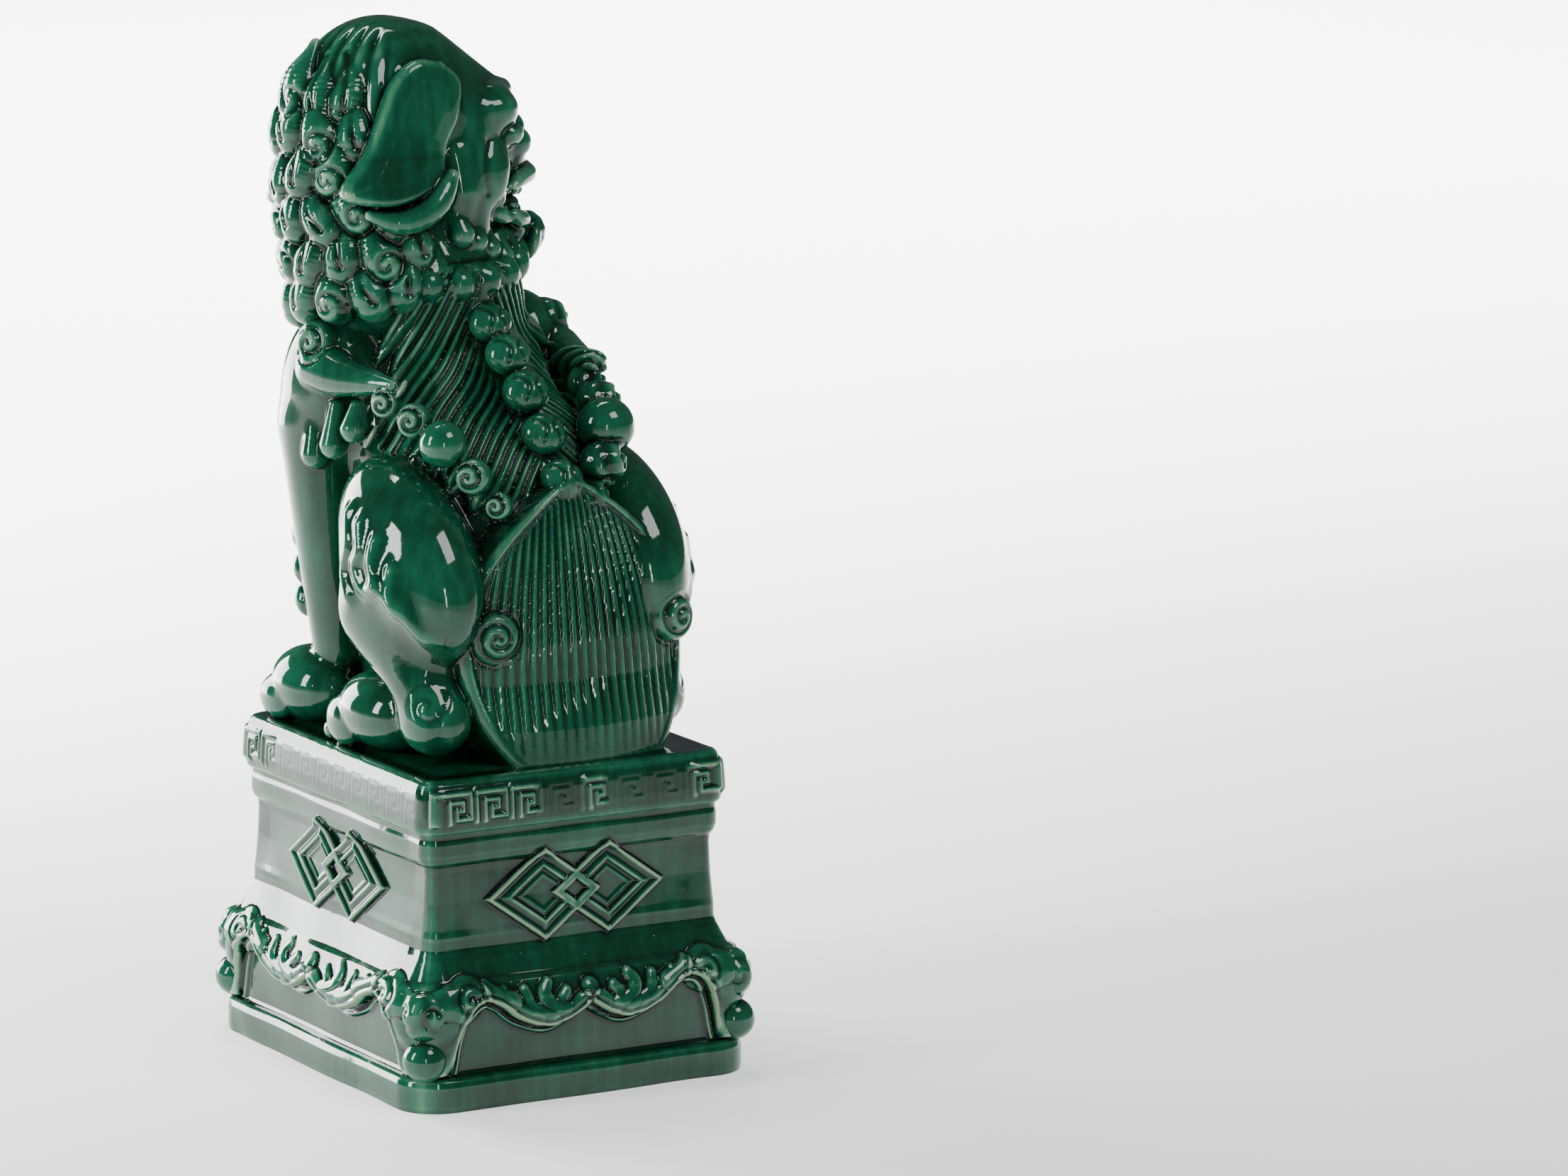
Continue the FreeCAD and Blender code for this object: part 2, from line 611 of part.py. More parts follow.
def spine_knobs(count=6):
    """A row of round knobs down the spine."""
    knobs = []
    for index in range(count):
        share = index / (count - 1)
        knobs.append(ball(
            "dims.knob_girth", "dims.waist_x",
            along("dims.knob_high_y", "dims.knob_low_y", share),
            along("dims.knob_high_z", "dims.knob_low_z", share, "dims.knob_bow")))
    tools = [skin, mantles["left"], mantles["right"]]
    node(cut(group("Compound", knobs, "knobs"), tools, "knob_cut"), "spine_knobs", body_frame())
    return knobs


def flank_curls(count=6):
    """Curls along both lower edges of the mantle, shrinking towards the tail."""
    curls = []
    for side in SIDES.values():
        for index in range(count):
            share = index / (count - 1)
            curls.append(ball(
                along("dims.curl_high_girth", "dims.curl_low_girth", share),
                f"{side} * (" + along("dims.curl_high_x", "dims.curl_low_x", share, "dims.curl_bow") + ")",
                along("dims.curl_high_y", "dims.curl_low_y", share),
                along("dims.curl_high_z", "dims.curl_low_z", share)))
    tools = [skin] + [item for pieces in (mantles, haunches, shoulders) for item in pieces.values()]
    node(cut(group("Compound", curls, "curls"), tools, "curl_cut"), "flank_curls", body_frame())


def tail_fan():
    """The tail: a pointed leaf standing against the rump, with a scroll at each shoulder."""
    body = new_body("tail_leaf")
    leaf = new_sketch(body, "XZ_Plane", "leaf_outline")
    wide = size("tail_half_width")
    low = size("tail_low")
    high = size("tail_high")
    girth = size("tail_wide_z")
    tip = Vector(0, high, 0)
    left = Vector(-wide, girth, 0)
    right = Vector(wide, girth, 0)
    bow = wide * size("tail_bow")
    bow_high = (high + girth) / 2 + size("tail_bow_rise")
    leaf.addGeometry(Part.Arc(tip, Vector(bow, bow_high, 0), right), False)
    leaf.addGeometry(Part.Arc(right, Vector(0, low, 0), left), False)
    leaf.addGeometry(Part.Arc(left, Vector(-bow, bow_high, 0), tip), False)
    body.Tip = pad(body, leaf, "dims.tail_thick", "leaf_pad", both_ways=True)
    stand = Placement(Vector(size("tail_x"), size("tail_y"), 0), Rotation())
    foot = Vector(0, 0, low)
    body.Placement = stand.multiply(Placement(Vector(), Rotation(Vector(1, 0, 0), size("tail_lean")), foot))
    tools = [skin, below] + [haunches[name] for name in SIDES] + [shins[name] for name in SIDES]
    scrolls = [
        ball("dims.tail_scroll_girth", f"dims.tail_x + {side} * dims.tail_scroll_x", "dims.tail_scroll_y",
             "dims.tail_scroll_z")
        for side in SIDES.values()
    ]
    node(cut(group("Compound", scrolls, "scrolls"), tools, "tail_scroll_cut"), "tail_scrolls", body_frame())
    node(cut(body, tools + scrolls, "tail_cut"), "tail_fan", body_frame())


def collar():
    """The raised line round the neck."""
    ring = doc.addObject("Part::Torus", "collar_ring")
    ring.setExpression("Radius1", "dims.collar_ring")
    ring.setExpression("Radius2", "dims.collar_girth")
    ring.Placement = Placement(Vector(), Rotation(Vector(1, 0, 0), -size("collar_tilt")))
    at(ring, "x", "dims.collar_x")
    at(ring, "y", "dims.collar_y")
    at(ring, "z", "dims.collar_z")
    return ring


for name in SIDES:
    legs(name)
belly_web()
back_mantle()
knobs = spine_knobs()
flank_curls()
tail_fan()
ring = collar()
node(cut(ring, [skin] + knobs[:1] + list(shoulders.values()) + list(mantles.values()), "collar_cut"),
     "collar", body_frame())

# ---------------------------------------------------------------- head


def in_head_frame(item):
    """A body-frame solid carried into the head's frame, to trim head pieces with."""
    holder = group("Compound", [item], "neck_tool")
    holder.Placement = head_frame().inverse().multiply(body_frame())
    return holder


neck = in_head_frame(skin)
collar_tool = in_head_frame(ring)
skull = ellipsoid("skull")
mane = ellipsoid("mane")
snout = ellipsoid("snout")
nose = ellipsoid("nose")
jaw = ellipsoid("jaw")
chin = ellipsoid("chin")
cheeks = {name: ellipsoid("cheek", side) for name, side in SIDES.items()}
brows = {name: ellipsoid("brow", side) for name, side in SIDES.items()}


def ear_outline():
    """The ear flap seen from the side: (towards the back, up), a paddle with a flared lower tip."""
    return [
        (4, 30), (-4, 22), (-3, 8), (6, -4), (3, -14), (10, -24), (24, -27), (46, -21), (34, -10),
        (25, 2), (21, 18), (14, 29),
    ]


def ear(name, side):
    """An ear flap lying along the side of the head."""
    body = new_body(f"ear_flap_{name}")
    flap = new_sketch(body, "YZ_Plane", f"flap_{name}")
    curve = Part.BSplineCurve()
    curve.interpolate([Vector(back, up, 0) for back, up in ear_outline()], True)
    flap.addGeometry(curve, False)
    body.Tip = pad(body, flap, "dims.ear_thick", f"flap_pad_{name}", both_ways=True)
    splay = Rotation(Vector(0, 0, 1), side * size("ear_splay"))
    body.Placement = Placement(Vector(side * size("ear_x"), 0, 0), splay)
    return body


def teeth(count=6):
    """Two rows of short pegs inside the open mouth."""
    pegs = []
    spread = size("tooth_spread")
    for row, lift in (("upper", 1), ("lower", -1)):
        for index in range(count):
            angle = math.radians(spread * (2 * index / (count - 1) - 1))
            peg = doc.addObject("Part::Cone", f"tooth_{row}")
            peg.setExpression("Radius1", "dims.tooth_girth")
            peg.setExpression("Radius2", "dims.tooth_girth * dims.tooth_tip")
            peg.setExpression("Height", "dims.tooth_tall")
            peg.Placement = Placement(Vector(), Rotation(Vector(1, 0, 0), 180 if lift > 0 else 0))
            at(peg, "x", f"dims.tooth_row * {math.sin(angle):.4f}")
            at(peg, "y", f"dims.tooth_y - dims.tooth_row * {math.cos(angle) * size('tooth_flat'):.4f}")
            at(peg, "z", f"dims.tooth_z + {lift} * dims.tooth_apart")
            pegs.append(peg)
    return group("Compound", pegs, "tooth_rows")


def mane_locks():
    """Half-round locks in staggered rows, lying with their flat sides on the back of the mane."""
    locks = []
    rows = int(size("lock_rows"))
    for row in range(rows):
        share = (row + 0.5) / rows
        drop = math.radians(size("lock_top") - size("lock_span") * share)
        across = int(size("locks_across")) + row % 2
        for index in range(across):
            swing = math.radians(size("lock_swing") * (2 * (index + 0.5) / across - 1))
            lock = doc.addObject("Part::Ellipsoid", "lock")
            lock.Angle1 = -90
            lock.Angle2 = 90
            lock.Angle3 = 180
            lock.setExpression("Radius1", "dims.lock_tall")
            lock.setExpression("Radius2", "dims.lock_width")
            lock.setExpression("Radius3", "dims.lock_thick")
            x = math.cos(drop) * math.sin(swing)
            y = math.cos(drop) * math.cos(swing)
            turn = Rotation(Vector(0, 0, 1), -math.degrees(swing))
            pitch = Rotation(Vector(1, 0, 0), math.degrees(drop) * size("lock_pitch"))
            lock.Placement = Placement(Vector(), turn.multiply(pitch))
            at(lock, "x", f"dims.mane_rx * {x:.4f}")
            at(lock, "y", f"dims.mane_y + dims.mane_ry * {y:.4f}")
            at(lock, "z", f"dims.mane_z + dims.mane_rz * {math.sin(drop):.4f}")
            locks.append(lock)
    return group("Compound", locks, "lock_rows")


def head_pieces():
    """The head, each piece trimmed by the ones beneath it."""
    place = head_frame()
    room = ellipsoid("skull", 1, "(-dims.skull_wall)")
    node(cut(skull, [room], "skull_cut"), "skull_shell", place)
    node(cut(mane, [skull, neck, collar_tool], "mane_cut"), "mane_cap", place)
    inner = [skull, mane, neck]
    ears = {name: ear(name, side) for name, side in SIDES.items()}
    node(cut(group("Compound", list(cheeks.values()), "cheek_pair"), inner, "cheek_cut"), "cheeks", place)
    for name in SIDES:
        node(cut(ears[name], inner + [cheeks[name]], "ear_cut"), f"ear_{name}", place)
    node(cut(snout, inner + list(cheeks.values()), "snout_cut"), "snout", place)
    node(cut(nose, [snout, skull], "nose_cut"), "nose", place)
    ridge = group("MultiFuse", list(brows.values()), "brow_pair")
    node(cut(ridge, [skull, snout] + list(cheeks.values()), "brow_cut"), "brow", place)
    node(cut(chin, inner + list(cheeks.values()), "chin_cut"), "chin", place)
    node(cut(jaw, inner + [chin] + list(cheeks.values()), "jaw_cut"), "lower_jaw", place)
    node(cut(teeth(), [snout, jaw, chin] + list(cheeks.values()), "teeth_cut"), "teeth", place)
    node(cut(ellipsoid("beard"), [jaw, chin, neck], "beard_cut"), "beard_curl", place)
    eyes = [
        ball("dims.eye_girth", f"{side} * dims.eye_x", "dims.eye_y", "dims.eye_z") for side in SIDES.values()
    ]
    tools = [skull, snout] + list(cheeks.values()) + list(brows.values())
    node(cut(group("Compound", eyes, "eyeballs"), tools, "eye_cut"), "eyes", place)
    node(mane_locks(), "mane_locks", place)


head_pieces()
doc.recompute()

# ---------------------------------------------------------------- checks and files


def check(items):
    """Stops unless every object is computed and every sub-part is a valid solid."""
    bad = [f"{item.Label} failed" for item in doc.Objects if {"Invalid", "Error"} & set(item.State)]
    for item in items:
        if item.Shape.isNull() or not item.Shape.isValid() or not item.Shape.Solids:
            bad.append(f"{item.Label} has no valid solid")
    if bad:
        raise ValueError("; ".join(bad))


check(nodes)
os.makedirs("parts", exist_ok=True)
for item in nodes:
    item.Shape.exportStep(f"parts/{item.Label}.step")
print(len(nodes), "sub-parts written")
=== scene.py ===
"""Looks of the glazed foo dog: sculpted clay masses, pressed plinth mouldings and a pooled emerald glaze.

The sculpture is worked as distance fields in millimetres, in the same frames as the CAD, and skinned
into one closed mesh for each piece. Everything is turned into metres when a mesh is made.
"""

import math

import bpy
import numpy as np
from mathutils import Matrix, Vector


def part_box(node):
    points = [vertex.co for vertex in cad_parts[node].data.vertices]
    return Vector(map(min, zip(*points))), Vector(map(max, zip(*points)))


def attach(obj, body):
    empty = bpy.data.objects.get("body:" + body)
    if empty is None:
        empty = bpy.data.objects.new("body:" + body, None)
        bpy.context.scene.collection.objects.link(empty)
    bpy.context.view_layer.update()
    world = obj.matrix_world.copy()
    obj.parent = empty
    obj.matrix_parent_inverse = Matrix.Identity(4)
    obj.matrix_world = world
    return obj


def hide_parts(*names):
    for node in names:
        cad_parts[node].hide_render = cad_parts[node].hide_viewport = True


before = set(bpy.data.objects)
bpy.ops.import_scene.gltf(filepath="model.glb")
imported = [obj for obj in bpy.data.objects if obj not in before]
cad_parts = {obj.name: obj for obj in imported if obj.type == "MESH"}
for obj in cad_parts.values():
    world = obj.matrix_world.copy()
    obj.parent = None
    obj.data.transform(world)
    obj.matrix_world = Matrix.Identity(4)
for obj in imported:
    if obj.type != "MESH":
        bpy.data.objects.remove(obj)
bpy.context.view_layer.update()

MM = 0.001
COARSE = 1.0
RNG = np.random.default_rng(8)

# Millimetres over which wear on ridges and pooling in hollows are judged, and what stands for open air.
FINE_REACH, WIDE_REACH = 1.0, 3.2
OPEN_AIR = 9.0


def node_box(name):
    """A CAD node's box in millimetres."""
    low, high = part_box(name)
    return np.array(low) / MM, np.array(high) / MM


# ---------------------------------------------------------------- clay


def rotation(turn):
    """A matrix for turns about x, then y, then z, in degrees."""
    ax, ay, az = (math.radians(angle) for angle in turn)
    about_x = np.array([[1, 0, 0], [0, math.cos(ax), -math.sin(ax)], [0, math.sin(ax), math.cos(ax)]])
    about_y = np.array([[math.cos(ay), 0, math.sin(ay)], [0, 1, 0], [-math.sin(ay), 0, math.cos(ay)]])
    about_z = np.array([[math.cos(az), -math.sin(az), 0], [math.sin(az), math.cos(az), 0], [0, 0, 1]])
    return about_z @ about_y @ about_x


def smooth_min(first, second, soft):
    """The smaller of two distances, filleted over a length soft."""
    blend = np.maximum(soft - np.abs(first - second), 0.0) / soft
    return np.minimum(first, second) - blend * blend * soft * 0.25


def blob(centre, radii, turn=(0, 0, 0)):
    """An ellipsoid: its low and high corners, and its distance function."""
    centre = np.array(centre, float)
    radii = np.array(radii, float)
    spin = rotation(turn)
    reach = np.sqrt(((spin * radii) ** 2).sum(axis=1))

    def distance(x, y, z):
        away = (x - centre[0], y - centre[1], z - centre[2])
        local = [sum(spin[j, i] * away[j] for j in range(3)) for i in range(3)]
        near = np.sqrt(sum((local[i] / radii[i]) ** 2 for i in range(3)))
        steep = np.sqrt(sum((local[i] / radii[i] ** 2) ** 2 for i in range(3)))
        return near * (near - 1.0) / np.maximum(steep, 1e-5)

    return centre - reach, centre + reach, distance


def from_segment(x, y, z, start, end):
    """How far along a straight length the nearest place to (x, y, z) lies, and the way from it."""
    run = end - start
    away = (x - start[0], y - start[1], z - start[2])
    share = sum(away[i] * run[i] for i in range(3)) / max(run @ run, 1e-6)
    share = np.clip(share, 0.0, 1.0)
    return share, [away[i] - share * run[i] for i in range(3)]


def horn(points, girths):
    """A chain of tapering round lengths through the points."""
    points = np.array(points, float)
    girths = np.array(girths, float)

    def distance(x, y, z):
        best, girth = 1e3, 0.0
        for start, end, thick, thin in zip(points, points[1:], girths, girths[1:]):
            share, away = from_segment(x, y, z, start, end)
            gap = np.sqrt(sum(part ** 2 for part in away))
            girth = np.where(gap < best, thick + share * (thin - thick), girth)
            best = np.minimum(best, gap)
        return best - girth

    widest = girths.max()
    return points.min(axis=0) - widest, points.max(axis=0) + widest, distance


def curve(points, count):
    """A smooth run of points through a few given ones (Catmull-Rom)."""
    points = np.array(points, float)
    padded = np.vstack([2 * points[0] - points[1], points, 2 * points[-1] - points[-2]])
    spans = len(points) - 1
    result = []
    for step in np.linspace(0, spans - 1e-6, count):
        index = int(step)
        t = step - index
        a, b, c, d = padded[index:index + 4]
        result.append(0.5 * (2 * b + (c - a) * t + (2 * a - 5 * b + 4 * c - d) * t ** 2
                             + (3 * b - a - 3 * c + d) * t ** 3))
    return np.array(result)


def polyline_gap(u, v, path):
    """Distance from points (u, v) to a flat polyline."""
    nearest = np.full(np.broadcast(u, v).shape, 1e3)
    for (u0, v0), (u1, v1) in zip(path, path[1:]):
        run_u, run_v = u1 - u0, v1 - v0
        length = max(run_u ** 2 + run_v ** 2, 1e-9)
        share = np.clip(((u - u0) * run_u + (v - v0) * run_v) / length, 0, 1)
        nearest = np.minimum(nearest, np.hypot(u - u0 - share * run_u, v - v0 - share * run_v))
    return nearest


def box_mean(grid, size, passes):
    """A grid averaged over size cells to each side, once for each (axis, padding) pass."""
    for axis, mode in passes:
        pad = [(0, 0)] * grid.ndim
        pad[axis] = (size + 1, size)
        total = np.cumsum(np.pad(grid, pad, mode=mode), axis=axis, dtype=np.float64)
        count = grid.shape[axis]
        high = np.take(total, range(2 * size + 1, 2 * size + 1 + count), axis=axis)
        low = np.take(total, range(0, count), axis=axis)
        grid = ((high - low) / (2 * size + 1)).astype(grid.dtype)
    return grid


def dome(distance, girth):
    """A round dome of height one."""
    return np.sqrt(np.maximum(1 - (distance / girth) ** 2, 0))


def comb_wave(phase, sharpness):
    """A row of rounded ridges from nought to one, one for each whole turn of the phase."""
    return (0.5 + 0.5 * np.cos(2 * math.pi * phase)) ** sharpness


class Clay:
    """A block of clay: a distance field on a grid, with the number of the piece that owns each place."""

    def __init__(self, low, high, step):
        self.step = step
        self.low = np.array(low, float)
        counts = np.ceil((np.array(high) - self.low) / step).astype(int) + 1
        self.axes = [(self.low[i] + step * np.arange(counts[i])).astype(np.float32) for i in range(3)]
        self.field = np.full(counts, OPEN_AIR, np.float32)
        self.owner = np.zeros(counts, np.uint8)
        self.pieces = []

    def window(self, low, high, margin):
        """The slices of a box of the grid, and its coordinates ready to broadcast."""
        cut = []
        for i in range(3):
            start = int((low[i] - margin - self.low[i]) / self.step)
            stop = int((high[i] + margin - self.low[i]) / self.step) + 2
            cut.append(slice(max(start, 0), max(min(stop, self.field.shape[i]), 0)))
        x = self.axes[0][cut[0]][:, None, None]
        y = self.axes[1][cut[1]][None, :, None]
        z = self.axes[2][cut[2]][None, None, :]
        return tuple(cut), x, y, z

    def number(self, piece):
        """The number that stands for a piece's name."""
        if piece not in self.pieces:
            self.pieces.append(piece)
        return self.pieces.index(piece) + 1

    def add(self, piece, shape, soft=2.0):
        """Adds a shape to the clay and gives it to a piece."""
        low, high, distance = shape
        cut, x, y, z = self.window(low, high, soft + 4 * self.step + 1)
        self.merge(piece, cut, distance(x, y, z).astype(np.float32), soft)

    def merge(self, piece, cut, new, soft):
        """Joins distances to a window of the clay, and gives a piece what they add."""
        old = self.field[cut]
        self.owner[cut] = np.where(new < old, self.number(piece), self.owner[cut])
        self.field[cut] = smooth_min(old, new, soft)

    def dig(self, shape, soft=1.0):
        """Takes a shape out of the clay."""
        low, high, distance = shape
        cut, x, y, z = self.window(low, high, soft + 2)
        self.field[cut] = -smooth_min(-self.field[cut], distance(x, y, z).astype(np.float32), soft)

    def scribe(self, path, width, depth, facing=None):
        """Presses a groove along a path, or raises a ridge where depth is negative.

        With facing, the groove also reaches far along that direction, so that a flat path marks a
        curved surface.
        """
        path = np.array(path, float)
        cut, x, y, z = self.window(path.min(axis=0), path.max(axis=0), 2.6 * width + (6 if facing else 1))
        nearest = None
        for start, end in zip(path, path[1:]):
            _, away = from_segment(x, y, z, start, end)
            if facing:
                lift = sum(away[i] * facing[i] for i in range(3))
                away = [away[i] - 0.85 * lift * facing[i] for i in range(3)]
            gap = sum(part ** 2 for part in away)
            nearest = gap if nearest is None else np.minimum(nearest, gap)
        self.field[cut] += (depth * np.exp(-nearest / width ** 2)).astype(np.float32)

    def swirl(self, centre, facing, girth, turns, depth, hand=1):
        """Presses a spiral into a dome."""
        centre = np.array(centre, float)
        axis = np.array(facing, float)
        axis /= np.linalg.norm(axis)
        across = np.cross([0, 0, 1], axis)
        across /= np.linalg.norm(across)
        upward = np.cross(axis, across)
        cut, x, y, z = self.window(centre - girth, centre + girth, 2)
        away = [x - centre[0], y - centre[1], z - centre[2]]
        u = sum(away[i] * across[i] for i in range(3))
        v = sum(away[i] * upward[i] for i in range(3))
        height = sum(away[i] * axis[i] for i in range(3))
        radius = np.hypot(u, v)
        phase = turns * radius / girth - hand * np.arctan2(v, u) / (2 * math.pi)
        fade = np.clip((1.08 - radius / girth) / 0.2, 0, 1) * np.clip(height / girth + 0.6, 0, 1)
        self.field[cut] += (depth * comb_wave(phase, 1.5) * fade).astype(np.float32)

    def blurred(self, reach):
        """The field averaged over a few millimetres, twice along each axis."""
        size = max(int(round(reach / self.step)), 1)
        grid = np.clip(self.field, -3 * reach, 3 * reach)
        return box_mean(grid, size, [(axis, "edge") for axis in (0, 1, 2, 0, 1, 2)])


CORNERS = np.array([(i, j, k) for i in (0, 1) for j in (0, 1) for k in (0, 1)])
CELL_EDGES = [(a, b) for a in range(8) for b in range(a + 1, 8)
              if abs(CORNERS[a] - CORNERS[b]).sum() == 1]


def trilinear(values, share):
    """Value and gradient inside cells, from their eight corner values."""
    weights = [np.where(CORNERS[:, i][None], share[:, i:i + 1], 1 - share[:, i:i + 1]) for i in range(3)]
    value = (values * weights[0] * weights[1] * weights[2]).sum(axis=1)
    slope = []
    for i in range(3):
        parts = list(weights)
        parts[i] = np.where(CORNERS[:, i][None], 1, -1)
        slope.append((values * parts[0] * parts[1] * parts[2]).sum(axis=1))
    return value, np.stack(slope, axis=1)


def settle(values, owners):
    """Where each cell's point lies in its cell, and the way the clay's surface faces there.

    A point goes to the surface where the surface passes through its cell, and otherwise to the middle
    of the walls between pieces.
    """
    outer_sum, inner_sum = np.zeros((2, len(values), 3))
    outer_count, inner_count = np.zeros((2, len(values)))
    for a, b in CELL_EDGES:
        crossing = (values[:, a] < 0) != (values[:, b] < 0)
        share = np.where(crossing, values[:, a] / np.where(crossing, values[:, a] - values[:, b], 1), 0)
        place = CORNERS[a] + share[:, None] * (CORNERS[b] - CORNERS[a])
        outer_sum += np.where(crossing[:, None], place, 0)
        outer_count += crossing
        change = (owners[:, a] != owners[:, b]) & ~crossing
        inner_sum += np.where(change[:, None], (CORNERS[a] + CORNERS[b]) / 2, 0)
        inner_count += change
    outside = outer_count > 0
    share = np.where(outside[:, None], outer_sum / np.maximum(outer_count, 1)[:, None],
                     inner_sum / np.maximum(inner_count, 1)[:, None])
    for _ in range(2):
        value, slope = trilinear(values, share)
        shift = (value / np.maximum((slope ** 2).sum(axis=1), 1e-4))[:, None] * slope
        share = np.where(outside[:, None], np.clip(share - shift, 0.02, 0.98), share)
    _, slope = trilinear(values, share)
    return share, slope / np.maximum(np.linalg.norm(slope, axis=1, keepdims=True), 1e-9)


def walls_between(owner, index):
    """A quad across every grid edge whose ends have different owners.

    Returns the quads, the owners behind and ahead of each, and the direction of its edge.
    """
    quads, sides, facing = [], [], []
    for axis in range(3):
        second, third = (axis + 1) % 3, (axis + 2) % 3
        behind = [slice(1, -1)] * 3
        behind[axis] = slice(0, -1)
        ahead = list(behind)
        ahead[axis] = slice(1, None)
        behind_owner, ahead_owner = owner[tuple(behind)], owner[tuple(ahead)]
        edges = np.argwhere(behind_owner != ahead_owner)
        ring = []
        for step_second, step_third in ((0, 0), (1, 0), (1, 1), (0, 1)):
            cell = edges.copy()
            cell[:, second] += step_second
            cell[:, third] += step_third
            ring.append(index[tuple(cell.T)])
        quads.append(np.stack(ring, axis=1))
        sides.append(np.stack([behind_owner[tuple(edges.T)], ahead_owner[tuple(edges.T)]], axis=1))
        facing.append(np.repeat(np.eye(3)[axis][None], len(edges), axis=0))
    return np.concatenate(quads), np.concatenate(sides), np.concatenate(facing)


def skin(clay):
    """Skins the clay into one closed quad mesh for each piece.

    Pieces share the very same outer surface, and walls inside the clay close each of them. Returns
    {piece: (points, quads, corner normals, edge wear, pooling)}.
    """
    owner = np.where(clay.field < 0, clay.owner, 0)
    size = np.array(owner.shape) - 1
    corners = [owner[i:i + size[0], j:j + size[1], k:k + size[2]] for i, j, k in CORNERS]
    cells = np.argwhere(np.minimum.reduce(corners) != np.maximum.reduce(corners))
    index = np.full(size, -1, np.int32)
    index[tuple(cells.T)] = np.arange(len(cells))
    places = tuple(np.moveaxis(cells[:, None, :] + CORNERS[None], 2, 0))
    share, normals = settle(clay.field[places].astype(np.float64), owner[places])
    points = clay.low + (cells + share) * clay.step
    edge, pool = (trilinear(clay.blurred(reach)[places].astype(np.float64), share)[0]
                  for reach in (FINE_REACH, WIDE_REACH))
    quads, sides, facing = walls_between(owner, index)
    outer = (sides == 0).any(axis=1)
    result = {}
    for number, piece in enumerate(clay.pieces, start=1):
        ahead, back = sides[:, 0] == number, sides[:, 1] == number
        faces = np.concatenate([quads[ahead], quads[back][:, ::-1]])
        if len(faces) == 0:
            continue
        on_skin = np.concatenate([outer[ahead], outer[back]])
        walls = np.concatenate([facing[ahead], -facing[back]])
        used, faces = np.unique(faces, return_inverse=True)
        faces = faces.reshape(-1, 4)
        corner_normals = np.where(on_skin[:, None, None], normals[used][faces], walls[:, None, :])
        result[piece] = (points[used], faces, corner_normals, edge[used], pool[used])
    return result


def place_object(name, mesh, corner_normals, edge, pool):
    """Makes a mesh smooth, gives it its normals and glaze measures, and puts it in the scene."""
    mesh.polygons.foreach_set("use_smooth", np.ones(len(mesh.polygons), bool))
    for label, values in (("edge", edge), ("pool", pool)):
        attribute = mesh.attributes.new(label, "FLOAT", "POINT")
        attribute.data.foreach_set("value", values.astype(np.float32))
    mesh.normals_split_custom_set(corner_normals.tolist())
    item = bpy.data.objects.new(name, mesh)
    bpy.context.collection.objects.link(item)
    return item


def make_mesh(name, points, quads, corner_normals, edge, pool, place):
    """A mesh object in metres from points in a local frame, with its glaze measures."""
    mesh = bpy.data.meshes.new(name)
    count, faces = len(points), len(quads)
    turn = np.array(place.to_3x3())
    moved = points @ turn.T + np.array(place.translation) / MM
    mesh.vertices.add(count)
    mesh.vertices.foreach_set("co", (moved * MM).astype(np.float32).ravel())
    mesh.loops.add(4 * faces)
    mesh.loops.foreach_set("vertex_index", quads.astype(np.int32).ravel())
    mesh.polygons.add(faces)
    mesh.polygons.foreach_set("loop_start", np.arange(0, 4 * faces, 4, dtype=np.int32))
    mesh.update(calc_edges=True)
    return place_object(name, mesh, corner_normals.reshape(-1, 3) @ turn.T, edge, pool)


# ---------------------------------------------------------------- frames

YAW = 3.0
BODY_SHIFT = -1.0
HEAD_AT = (7.0, -46.0, 345.0)
HEAD_TURN = -94.0
HEAD_LEAN = 8.0

BODY_PLACE = (Matrix.Translation(Vector((BODY_SHIFT, 0, 0)) * MM)
              @ Matrix.Rotation(math.radians(YAW), 4, "Z"))
HEAD_PLACE = (Matrix.Translation(Vector(HEAD_AT) * MM) @ Matrix.Rotation(math.radians(HEAD_LEAN), 4, "X")
              @ Matrix.Rotation(math.radians(HEAD_TURN), 4, "Z"))
SLAB_TOP = node_box("top_slab")[1][2]
SIDES = {"left": 1, "right": -1}

# ---------------------------------------------------------------- body

SPINE_HIGH = np.array([-4.0, -12.0, 288.0])
SPINE_LOW = np.array([-7.0, 46.0, 226.0])
TAIL_AT = np.array([-8.0, 53.0, 166.0])
MANTLE_SLANT = 1.15


def spine(share):
    """A point on the line of knobs, from the neck down to the tail, bowed up in the middle."""
    bow = 5.0
    return SPINE_HIGH + share * (SPINE_LOW - SPINE_HIGH) + (0, 0, bow * math.sin(math.pi * share))


def torso(clay):
    """Rump, waist, chest and neck."""
    clay.add("torso", blob((-3, 18, 165), (49, 37, 50)))
    clay.add("torso", blob((-4, 2, 208), (43, 36, 49), (35, 0, 0)), 14)
    clay.add("torso", blob((-1, -36, 240), (42, 34, 50), (15, 0, 0)), 14)
    clay.add("torso", blob((5, -43, 290), (40, 34, 31)), 12)


def mantle_outline(run, across, y, z):
    """One inside the mantle's scalloped outline and nought outside it."""
    limit = np.interp(run, (-14, -3, 32, 40, 52, 66, 81, 92, 99), (24, 32, 43, 52, 48, 43, 34, 23, 8))
    limit = limit + 3.0 * np.cos(2 * math.pi * (run - MANTLE_SLANT * across) / 16.0) - 1.5
    inside = np.clip((limit - across) / 3.0, 0, 1) * np.clip((run + 13) / 4, 0, 1)
    return inside * np.clip((y + 0.45 * z - 92) / 3, 0, 1) * np.clip((299 - z) / 2.5, 0, 1)


